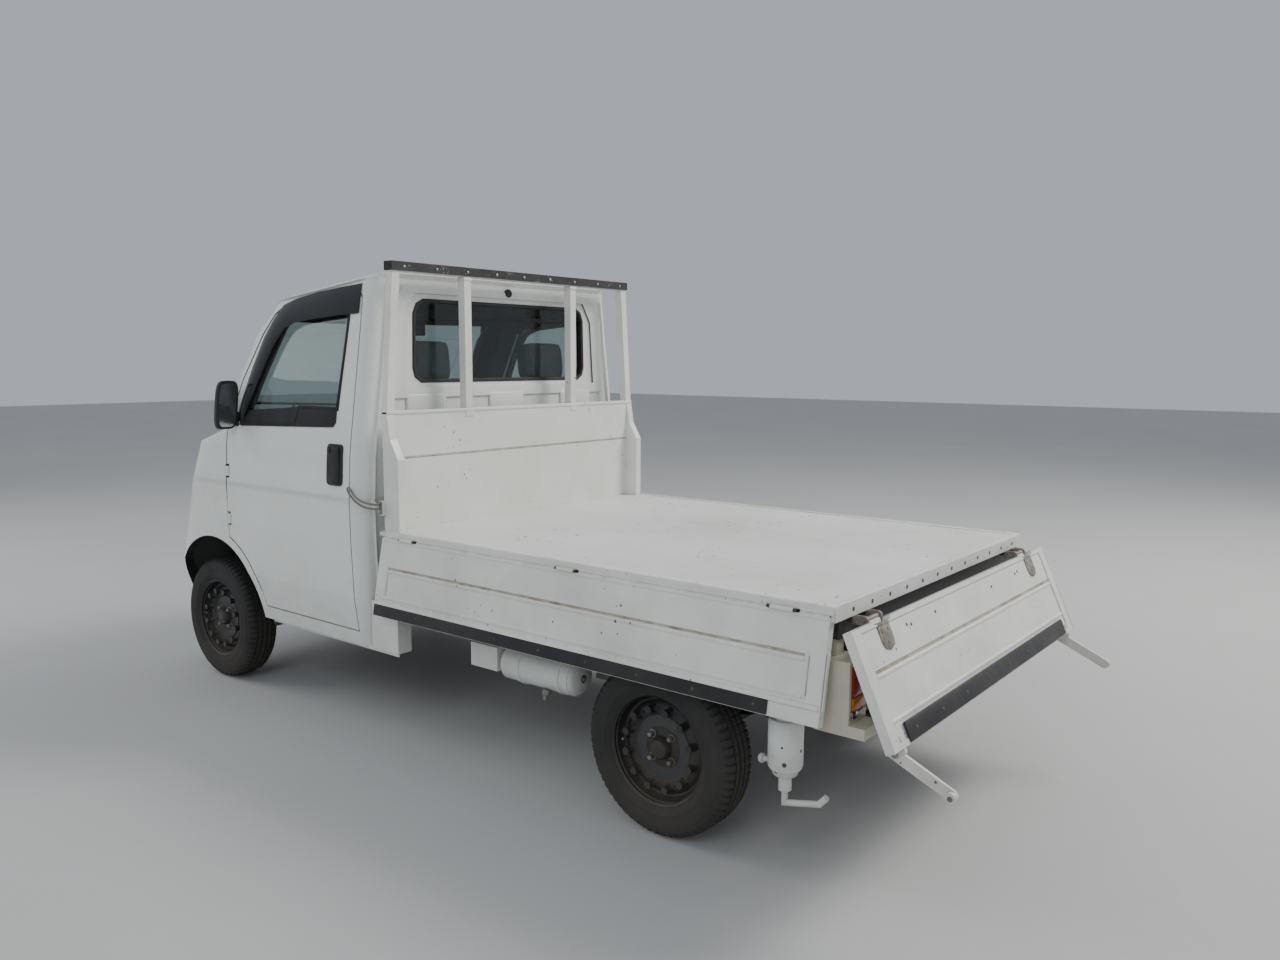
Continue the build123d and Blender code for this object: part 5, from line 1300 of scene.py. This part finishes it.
@dataclass
class Gate:
    """A side gate's rubber strip, lock, end caps and mouldings, in the gate's own axes."""

    side: str
    rear_x: float = 12
    length: float = 1797
    height: float = 278
    top_z: float = 753.6
    top_y: float = 707
    lean: float = 10.6
    fold_ends: Pair = (57, 54)
    hinges: tuple[float, ...] = (138, 898.5, 1659)

    @property
    def place(self) -> Matrix:
        """The gate's own axes: X along it, Y out of its face, Z down from its top edge is negative."""
        turn = Matrix.Rotation(math.radians(self.lean) * SIDES[self.side], 4, "X")
        shift = Matrix.Translation((self.rear_x, SIDES[self.side] * self.top_y, self.top_z))
        flip = Matrix.Diagonal((1, SIDES[self.side], 1, 1))
        return shift @ turn @ flip

    def part(self, name: str, finish: Finish) -> Shape:
        """Starts one piece on the gate."""
        return Shape(f"gate_{name}_{self.side}", f"gate_{self.side}", finish, self.place)

    def build(self) -> None:
        """Builds the gate's added parts."""
        foot, end = -self.height, self.length
        strip = self.part("rubber", BLACK_TRIM)
        strip.box((150, -2, foot + 2), (end - 6, 5, foot + 43), 2).finish_piece()
        bolts = self.part("bolts", RUST)
        bolts.row((190, 4.5, foot + 22), (195, 0, 0), 9, (0, 1, 0), RIVET, 16).finish_piece()
        self.mouldings()
        lip = self.part("lip", BED_WHITE)
        profile = [(4, 0, -222), (4, 7, -233), (4, 7, -236), (4, -1, -236)]
        lip.prism(profile, (end - 8, 0, 0), 0.8).finish_piece()
        lock = self.part("lock", BED_WHITE)
        for x, reach in ((end + 1, 5), (-1, -5)):
            lock.box((x, -16, -236), (x + reach, -3, -88), 2)
        lock.finish_piece()

    def mouldings(self) -> None:
        """Adds the folded frame round the gate's groove, its top edge, and the dark strips in the folds:
        painted shade with grime.
        """
        edges = self.part("mouldings", BED_WHITE)
        low, high = self.fold_ends[0], self.length - self.fold_ends[1]
        uprights = (low - 4, high + 4)
        for z in (-115, -209):
            edges.sweep([(low, 0, z), (high, 0, z)], FOLD, (0, 1, 0))
        for x in uprights:
            edges.sweep([(x, 0, -96), (x, 0, -214)], FOLD, (0, 1, 0))
        rim = [(-4.5, -1), (4.5, -1), (4, 2), (0, 3), (-4, 2)]
        edges.sweep([(4, 0, -5), (self.length - 4, 0, -5)], rim, (0, 1, 0))
        for x0, x1 in between(3, self.hinges, self.length - 3):
            edges.box((x0, -2.2, -1), (x1, 0.4, 3.9), 0.8)
        edges.finish_piece()
        # Dark strips in the groove and beside the uprights: painted shade in the folds, with grime.
        shade_and_grime = self.part("groove_shade_and_grime", CREASE_SHADE_AND_GRIME)
        shade_and_grime.box((low + 1, -3.4, -111.5), (high - 1, -1.9, -101))
        for x in uprights:
            shade_and_grime.box((x - 9.5, -0.5, -206), (x - 6.5, 0.35, -104))
        shade_and_grime.finish_piece()


@dataclass
class Bed:
    """Deck trim, headboard bolts and the tailgate's small parts."""

    length: float = 1790
    half: float = 702
    top: float = 778
    hinges: tuple[float, ...] = (150, 910.5, 1671)
    tail_top: Pair = (-38, 726)
    tail_lean: float = 23.9
    tail_height: float = 306
    thick: float = 25
    tail_hinges_y: tuple[float, ...] = (-569, 569)
    tail_pin: Pair = (-33, 733.1)
    tail_ear: float = 12.5

    @property
    def tail_place(self) -> Matrix:
        """The tailgate's own axes: X towards the truck, Z up its face from the top edge."""
        turn = Matrix.Rotation(math.radians(self.tail_lean), 4, "Y")
        return Matrix.Translation((self.tail_top[0], 0, self.tail_top[1])) @ turn

    def build(self) -> None:
        """Builds the bed's added parts."""
        for side in SIDES:
            Gate(side).build()
        self.deck_edges()
        self.headboard_trim()
        self.latch_wires()
        self.tail_trim()
        self.tail_hinges()
        self.levers()

    def deck_edges(self) -> None:
        """Adds the raised edge strips, their rivets and the bolts of the rear edge."""
        strips = Shape("deck_edge_strips", "chassis", BED_WHITE)
        rivets = Shape("deck_rivets", "chassis", BED_WHITE)
        half, top, end = self.half, self.top, self.length
        for s in SIDES.values():
            strips.box((2, s * (half - 26), top - 1), (end - 64, s * (half - 1), top + 3), 1.3)
            strips.box((2, s * (half - 2), top - 17), (end - 2, s * (half + 2), top + 2), 1.2)
            head = [(0, 5), (1.4, 4.2), (2, 0.5)]
            rivets.row((60, s * (half - 13), top + 2.6), (125, 0, 0), 14, (0, 0, 1), head, 14)
        for s in SIDES.values():
            for x0, x1 in between(4, self.hinges, end + 10):
                strips.box((x0, s * (half - 0.5), 757), (x1, s * (half + 2.3), top - 12), 0.9)
        strips.box((1, -half + 27, top - 1), (26, half - 27, top + 2.6), 1.2).finish_piece()
        rivets.finish_piece()
        bolts = Shape("rear_strip_bolts", "chassis", RUST)
        head = [(0, 6.5), (1.2, 6), (1.5, 2)]
        bolts.row((0.5, -605, top - 19), (0, 110, 0), 12, (-1, 0, 0), head, 14).finish_piece()

    def headboard_trim(self) -> None:
        """Adds the guard's bolts, the bars' feet, the headboard's top roll and the dark strip in its crease:
        painted shade with grime.
        """
        x = self.length
        bolts = Shape("guard_bolts", "chassis", STEEL)
        head = [(0, 6), (2, 5.6), (3, 3)]
        bolts.row((x - 6, -600, 1721), (0, 150, 0), 9, (-1, 0, 0), head, 6).finish_piece()
        feet = Shape("bar_feet", "chassis", BED_WHITE)
        for y in (-297, 297):
            for half, z0, z1 in ((21, 1176, 1209), (20, 1690, 1703)):
                feet.box((x - 3, y - half, z0), (x + 37, y + half, z1), 2)
        feet.box((x - 4, -690, 1196), (x + 29, 690, 1209), 3, 3).finish_piece()
        # Dark strip in the crease: painted shade, with grime.
        crease = Shape("headboard_crease_shade_and_grime", "chassis", CREASE_SHADE_AND_GRIME)
        crease.box((x + 0.6, -657, 1034.6), (x + 2.4, 657, 1037.6)).finish_piece()

    def latch_wires(self) -> None:
        """Bends the gates' wire hooks, which hang from plates on the headboard."""
        loop = (
            (1816, 707, 860), (1846, 717, 856), (1886, 737, 866), (1926, 747, 892), (1950, 749, 918),
            (1946, 749, 929), (1934, 749, 925), (1912, 748, 902), (1878, 741, 883), (1842, 722, 874),
            (1816, 709, 874),
        )
        wire = Shape("latch_wires", "chassis", STEEL, smooth=60)
        head = [(0, 9), (3, 9), (5, 6), (5.5, 0.5)]
        for s in SIDES.values():
            wire.tube([(x, s * y, z) for x, y, z in loop], 3.6, 8)
            wire.turned((1815, s * 704, 857), (0, s, 0), head, 6)
            wire.box((1808, s * 703, 838), (1823, s * 707.5, 884), 1.2)
        wire.finish_piece()

    def tail_trim(self) -> None:
        """Adds the tailgate's rubber strip, mouldings and bolts, and the dark strip in its groove: painted
        shade with grime.
        """
        face_x, foot = -self.thick, -self.tail_height
        strip = Shape("tail_rubber", "tailgate", BLACK_TRIM, self.tail_place)
        strip.box((face_x - 5, -646, foot + 3), (face_x + 2, 646, foot + 54), 2).finish_piece()
        bolts = Shape("tail_bolts", "tailgate", RUST, self.tail_place)
        bolts.row((face_x - 4.5, -595, foot + 28), (0, 170, 0), 8, (-1, 0, 0), RIVET, 16)
        for y, z in ((-440, -42), (-415, -46), (-190, -50), (250, -44), (415, -46), (440, -42)):
            bolts.turned((face_x + 4, y, z), (-1, 0, 0), [(0, 5), (0.8, 4.6), (1, 0.5)], 16)
        bolts.finish_piece()
        face = Shape("tail_mouldings", "tailgate", BED_WHITE, self.tail_place)
        for z in (-128, -240):
            face.sweep([(face_x + 4, -690, z), (face_x + 4, 690, z)], FOLD, (-1, 0, 0))
        # Dark strip in the groove: painted shade, with grime.
        shade_and_grime = Shape("tail_groove_shade_and_grime", "tailgate", CREASE_SHADE_AND_GRIME, self.tail_place)
        shade_and_grime.box((face_x + 6, -692, -123), (face_x + 8.6, 692, -113)).finish_piece()
        for s in SIDES.values():
            face.box((face_x - 2, s * 736, foot + 2), (0, s * 739.5, -4), 1.2)
        face.finish_piece()

    def tail_hinges(self) -> None:
        """Adds the galvanised hinges between deck and tailgate, and the sheet along its top."""
        leaves = Shape("tail_hinge_leaves", "tailgate", WORN_ZINC, self.tail_place)
        sleeves = Shape("tail_hinge_sleeves", "tailgate", WORN_ZINC)
        fixed = Shape("tail_hinge_brackets", "chassis", WORN_ZINC)
        cap = Shape("tail_top_sheet", "tailgate", SHEET, self.tail_place)
        leaf = [(-33, -9), (33, -9), (33, -58), (25, -74), (0, -82), (-25, -74), (-33, -58)]
        face = -self.thick + 5
        pin_x, pin_z = self.tail_pin
        turns = (math.radians(70 + 20 * k) for k in range(12))
        ear = [(pin_x + self.tail_ear * math.cos(a), pin_z + self.tail_ear * math.sin(a)) for a in turns]
        ear += [(-16, 721.5), (-0.4, 719), (-0.4, 741), (-14, 745)]
        sleeve = [(0, 6), (0.6, 7), (66.4, 7), (67, 6)]
        for y in self.tail_hinges_y:
            leaves.prism([(face, y + dy, z) for dy, z in leaf], (-4.6, 0, 0), 1.2)
            leaves.box((-self.thick - 0.6, y - 33, -16), (0.6, y + 33, -8.6), 0.5)
            for dy, z in ((-18, -28), (18, -28), (0, -58)):
                leaves.turned((face - 4.4, y + dy, z), (-1, 0, 0), [(0, 6.5), (1.2, 6), (1.8, 3)], 6)
            sleeves.turned((pin_x, y - 33.5, pin_z), (0, 1, 0), sleeve, 28)
            for s in (-1, 1):
                fixed.prism([(x, y + s * 34.9, z) for x, z in ear], (0, s * 8.4, 0), 0.8)
                fixed.turned((pin_x, y + s * 43.2, pin_z), (0, s, 0), [(0, 6.5), (2.2, 6.2), (3, 4)], 6)
        for y0, y1 in between(-690, self.tail_hinges_y, 690, 52):
            cap.box((-self.thick + 0.5, y0, -1), (-0.5, y1, 1.3), 0.8)
        for shape in (leaves, sleeves, fixed, cap):
            shape.finish_piece()

    def levers(self) -> None:
        """Adds the rollers and pins of the tailgate's levers."""
        pins = Shape("lever_pins", "tailgate", STEEL)
        for s in SIDES.values():
            pins.turned((-308.4, s * 696, 366.1), (0, s, 0), [(0, 8), (5, 7.5), (6, 5)], 6)
            pins.turned((-161, s * 684, 433), (0, s, 0), [(0, 9), (4, 8.5), (5.5, 6)], 16)
        pins.finish_piece()


# Underneath


@dataclass
class Underbody:
    """Springs, pipes, straps and brackets under the truck."""

    spring_y: Pair = (392, 438)
    clamp_y: Pair = (386, 444)
    canister: Pair = (579, 371)
    leg: Pair = (648, 285)

    def build(self) -> None:
        """Builds the parts under the body."""
        self.springs()
        self.pipes()
        self.canister_fittings()
        self.leg_clamp()
        self.lamps()

    def springs(self) -> None:
        """Adds the short leaves, clamps and dampers of the rear springs."""
        leaves = Shape("spring_leaves", "chassis", CHASSIS)
        clamps = Shape("spring_clamps", "chassis", RUST)
        x = REAR_AXLE_X
        y0, y1 = self.spring_y
        for s in SIDES.values():
            for step, half in enumerate((330, 230, 130)):
                low = 290 - 7 * step
                high = low + 0.34 * half
                outline = [(x - half, high), (x, low), (x + half, high)]
                outline += [(a, z + 6) for a, z in reversed(outline)]
                leaves.prism([(a, s * y0, z) for a, z in outline], (0, s * (y1 - y0), 0))
            for dx in (-32, 32):
                for y in self.clamp_y:
                    clamps.rod((x + dx, s * y, 236), (x + dx, s * y, 352), 5, 10)
            clamps.rod((x + 40, s * 380, 262), (x + 150, s * 362, 520), 17, 18)
            clamps.rod((x + 84, s * 373, 368), (x + 148, s * 362.5, 518), 24, 18)
        leaves.finish_piece()
        clamps.finish_piece()

    def pipes(self) -> None:
        """Adds the exhaust pipe in front of the silencer and behind it."""
        pipe = Shape("exhaust_pipe", "chassis", RUST, smooth=50)
        front = [(700, -150, 300), (600, -205, 385), (470, -215, 400), (360, -200, 340), (300, -150, 330)]
        tail = [(250, 150, 320), (170, 190, 315), (60, 205, 310), (-10, 205, 306)]
        pipe.tube(front, 17, 16).tube(tail, 16, 16).finish_piece()

    def canister_fittings(self) -> None:
        """Adds end domes, straps and the hose stub of the white canister."""
        y, z = self.canister
        straps = Shape("canister_straps", "chassis", WHITE)
        band = [(0, 61.5), (1, 64), (17, 64), (18, 61.5)]
        for x in (1010, 1190):
            straps.turned((x, y, z), (1, 0, 0), band, 40)
            straps.box((x, y - 5, 430), (x + 18, y + 5, 452), 2)
        deep = [(-2, 60), (6, 57), (15, 44), (20, 22), (21, 1)]
        shallow = [(-2, 60), (4, 56), (9, 40), (10, 1)]
        straps.turned((975, y, z), (-1, 0, 0), deep, 40)
        straps.turned((1275, y, z), (1, 0, 0), shallow, 40).finish_piece()
        fit = Shape("canister_fittings", "chassis", STEEL)
        stub = [(0, 15), (16, 15), (18, 9), (34, 8)]
        fit.turned((1085, y + 33, 316), (0, 0.35, -1), stub, 18)
        fit.turned((955, y, z), (-1, 0, 0), [(0, 13.6), (1.2, 13.6), (1.6, 12)], 20)
        fit.turned((955, y, z), (-1, 0, 0), [(1, 8.4), (6, 8.4), (7.6, 6.4)], 6).finish_piece()

    def leg_clamp(self) -> None:
        """Adds the prop leg's tapered collar, clamp and knob."""
        y, z = self.leg
        collar = [
            (0, 20.5), (0, 31), (3, 34), (10, 35.5), (20, 44), (30, 48), (150, 48.5), (158, 44),
            (158, 20.5),
        ]
        knob = [(0, 7), (3, 13), (10, 14), (15, 10)]
        shape = Shape("leg_clamp", "chassis", OILY_WHITE)
        shape.turned((166, y, z), (0, 0, 1), collar, 40, hollow=True)
        shape.rod((210, y, z + 31), (236, y, z + 27), 8)
        shape.turned((232, y, z + 28), (1, 0, -0.1), knob, 18).finish_piece()

    def lamps(self) -> None:
        """Sets red, amber and clear lenses into the rear lamp cases."""
        lenses = (
            ("stop", RED_LENS, 548, 628), ("turn", AMBER_LENS, 512, 546),
            ("reverse", CLEAR_LENS, 488, 510),
        )
        for side, s in SIDES.items():
            for name, finish, low, high in lenses:
                lens = Shape(f"{name}_lens_{side}", "chassis", finish)
                lens.box((-34, s * 603, low), (-41, s * 673, high), 3, 3).finish_piece()


# Cabin


@dataclass
class Cushion:
    """One padded piece of a seat: a crowned form with sewn channels."""

    name: str
    middle: Point
    size: Point
    lean: float
    channels: tuple[float, ...] = (-0.42, 0.42)
    crown: float = 0.22
    cuts: int = 14

    def build(self) -> None:
        """Builds the cushion as a closed crowned form."""
        place = Matrix.Translation(self.middle) @ Matrix.Rotation(math.radians(self.lean), 4, "Y")
        shape = Shape(self.name, "chassis", SEAT_CLOTH, smooth=70)
        made = bmesh.ops.create_cube(shape.bm, size=2)
        edges = list({e for v in made["verts"] for e in v.link_edges})
        bmesh.ops.subdivide_edges(shape.bm, edges=edges, cuts=self.cuts, use_grid_fill=True)
        for vert in shape.bm.verts:
            vert.co = place @ self.form(vert.co.copy())
        piece = shape.finish_piece("seats")

    def form(self, p: Vector) -> Vector:
        """Moves a point of the unit cube onto the cushion."""
        long, wide, thick = (s / 2 for s in self.size)
        edge = Vector((p.x ** 4, p.y ** 4, p.z ** 4))
        x = p.x * (1 - 0.09 * edge.y - 0.05 * edge.z) * (1 - 0.02 * (1 - p.y ** 2))
        y = p.y * (1 - 0.06 * edge.x - 0.05 * edge.z) * (1 - 0.025 * (1 - p.x ** 2))
        swell = 1 - self.crown * (0.5 * p.x ** 4 + 0.5 * p.y ** 4)
        z = p.z * swell * (1 - 0.05 * (edge.x + edge.y))
        for place in self.channels:
            z -= p.z * 0.10 * math.exp(-((p.y - place) / 0.035) ** 2)
        for place in (-0.5, 0, 0.5):
            if abs(p.y) < 0.42:
                z -= p.z * 0.06 * math.exp(-((p.x - place) / 0.04) ** 2)
        return Vector((x * long, y * wide, z * thick))


@dataclass
class Cabin:
    """Seats, steering wheel and controls."""

    seat_y: float = 330
    wheel_at: Pair = (765, 990)
    wheel_tilt: float = 50
    wheel_ring: float = 180
    grip: float = 12.5

    def build(self) -> None:
        """Builds everything inside the cab."""
        self.seats()
        self.steering_wheel()
        self.controls()

    def seats(self) -> None:
        """Builds two seats, each of a cushion, a backrest and a head rest."""
        x = CAB_REAR_X
        for side, s in SIDES.items():
            y = s * self.seat_y
            Cushion(f"seat_cushion_{side}", (x + 415, y, 706), (500, 462, 112), -3).build()
            Cushion(f"seat_back_{side}", (x + 175, y, 1020), (545, 462, 92), -81.5).build()
            rest = Cushion(f"head_rest_{side}", (x + 125, y, 1386), (160, 232, 82), -85, (), 0.3)
            rest.build()
            rods = Shape(f"head_rest_rods_{side}", "chassis", STEEL)
            for dy in (-60, 60):
                rods.rod((x + 128, y + dy, 1270), (x + 124, y + dy, 1330), 6)
            rods.finish_piece()

    def steering_wheel(self) -> None:
        """Builds the ring, spokes and pad of the steering wheel."""
        tilt = math.radians(self.wheel_tilt)
        centre = Vector((CAB_REAR_X + self.wheel_at[0], -self.seat_y, self.wheel_at[1]))
        back = Vector((-math.cos(tilt), 0, math.sin(tilt)))
        side = Vector((0, 1, 0))
        up = back.cross(side)
        ring = [tuple(centre + (side * c + up * n) * self.wheel_ring) for c, n in circle(40)]
        section = [(self.grip * c, self.grip * n) for c, n in circle(14)]
        shape = Shape("steering_ring", "steering_wheel", CABIN_GREY, smooth=60)
        shape.sweep(ring, section, tuple(back), closed=True)
        pad = [(0, 34), (30, 40), (44, 62), (54, 60), (60, 44), (62, 2)]
        shape.turned(tuple(centre - back * 44), tuple(back), pad, 36)
        for direction in (side, -side, -up if up.z > 0 else up):
            a, b = centre - back * 4 + direction * 45, centre - back * 2 + direction * 172
            across = back.cross(direction)
            corners = [a - across * 18, a + across * 18, b + across * 13, b - across * 13]
            shape.prism([tuple(c) for c in corners], tuple(-back * 9), 2.5)
        shape.finish_piece("steering_wheel")

    def controls(self) -> None:
        """Adds the gear lever, handbrake, gauge hood, vents, pedals and inner mirror."""
        x = CAB_REAR_X
        shape = Shape("cab_controls", "chassis", CABIN_GREY)
        shape.tube([(x + 720, 0, 413), (x + 715, 0, 560), (x + 700, -5, 690)], 7, 10)
        knob = [(0, 12), (10, 21), (28, 24), (40, 16), (44, 2)]
        boot = [(0, 60), (12, 56), (40, 30), (66, 14)]
        shape.turned((x + 700, -5, 680), (0, 0, 1), knob, 20)
        shape.turned((x + 720, 0, 412.5), (0, 0, 1), boot, 28)
        handbrake = [(x + 560, -40, 640), (x + 640, -40, 690), (x + 700, -40, 730)]
        shape.tube(handbrake, 9, 10)
        shape.box((x + 905, -490, 1050), (x + 1060, -170, 1112), 22, 4)
        for y in (-560, -120, 120, 545):
            shape.box((x + 925, y - 45, 985), (x + 942, y + 45, 1035), 4, 2)
        for y in (-430, -330, -240):
            shape.box((x + 1010, y - 25, 500), (x + 1022, y + 25, 560), 3)
            shape.rod((x + 1022, y, 540), (x + 1085, y, 720), 6, 10)
        shape.box((x + 640, -115, 1500), (x + 656, 115, 1560), 8, 3)
        shape.rod((x + 650, 0, 1550), (x + 690, 0, 1592), 7, 10).finish_piece()


# Studio


@dataclass
class Studio:
    """Floor, soft lights and the camera at the photograph's place."""

    camera_at: Point = (-1153, 2938, 1393)
    heading: float = -51.48
    pitch: float = -6.77
    roll: float = 0.19
    focal: float = 1009.9
    image_width: float = 1280
    sensor: float = 36
    sky: Colour = (0.80, 0.86, 0.95)
    sky_strength: float = 0.55
    aim: Point = (0, 0, 0.7)
    floor_half: float = 30

    def build(self) -> None:
        """Builds the studio round the truck."""
        self.floor()
        self.lights()
        self.camera()

    def floor(self) -> None:
        """Lays a wide pale floor with a faint grain."""
        bm = bmesh.new()
        bmesh.ops.create_grid(bm, x_segments=2, y_segments=2, size=self.floor_half)
        mesh = bpy.data.meshes.new("studio_floor")
        bm.to_mesh(mesh)
        bm.free()
        floor = bpy.data.objects.new("studio_floor", mesh)
        bpy.context.scene.collection.objects.link(floor)
        mesh.materials.append(FLOOR_GREY.material())

    def lights(self) -> None:
        """Sets a pale sky, a broad key light and two fills."""
        world = bpy.data.worlds.new("studio_sky")
        bpy.context.scene.world = world
        world.use_nodes = True
        background = world.node_tree.nodes["Background"].inputs
        background["Color"].default_value = flat(self.sky)
        background["Strength"].default_value = self.sky_strength
        lamps = (
            ("key_light", (-4.5, -5, 6.5), 3, 640, (1, 0.97, 0.92)),
            ("camera_fill", (-3, 7, 4.5), 4, 150, (0.93, 0.97, 1)),
            ("front_fill", (6.5, 3, 4), 4, 170, (1, 1, 1)),
        )
        for name, at, size, power, colour in lamps:
            data = bpy.data.lights.new(name, "AREA")
            data.size = size
            data.energy = power
            data.color = colour
            lamp = bpy.data.objects.new(name, data)
            lamp.location = at
            lamp.rotation_euler = (Vector(self.aim) - Vector(at)).to_track_quat("-Z", "Y").to_euler()
            lamp.visible_glossy = name == "key_light"
            bpy.context.scene.collection.objects.link(lamp)

    def camera(self) -> None:
        """Sets the camera where the photograph was taken from."""
        az, el, ro = (math.radians(v) for v in (self.heading, self.pitch, self.roll))
        forward = Vector((math.cos(el) * math.cos(az), math.cos(el) * math.sin(az), math.sin(el)))
        right = forward.cross(Vector((0, 0, 1))).normalized()
        up = right.cross(forward)
        turned_right = right * math.cos(ro) + up * math.sin(ro)
        turned_up = up * math.cos(ro) - right * math.sin(ro)
        data = bpy.data.cameras.new("photo_camera")
        data.sensor_width = self.sensor
        data.lens = self.sensor * self.focal / self.image_width
        data.clip_end = 200
        camera = bpy.data.objects.new("photo_camera", data)
        turn = Matrix((turned_right, turned_up, -forward)).transposed()
        camera.matrix_world = Matrix.Translation(metres(self.camera_at)) @ turn.to_4x4()
        bpy.context.scene.collection.objects.link(camera)
        bpy.context.scene.camera = camera


def main() -> None:
    """Builds every sub-assembly in order."""
    logging.basicConfig(level=logging.INFO, format="%(name)s: %(message)s")
    dress_nodes()
    for end, x in (("front", FRONT_AXLE_X), ("rear", REAR_AXLE_X)):
        for side in SIDES:
            Wheel(end, side, x).build()
    for assembly in (CabTrim(), Bed(), Underbody(), Cabin(), Studio()):
        assembly.build()


if __name__ == "__main__":
    main()
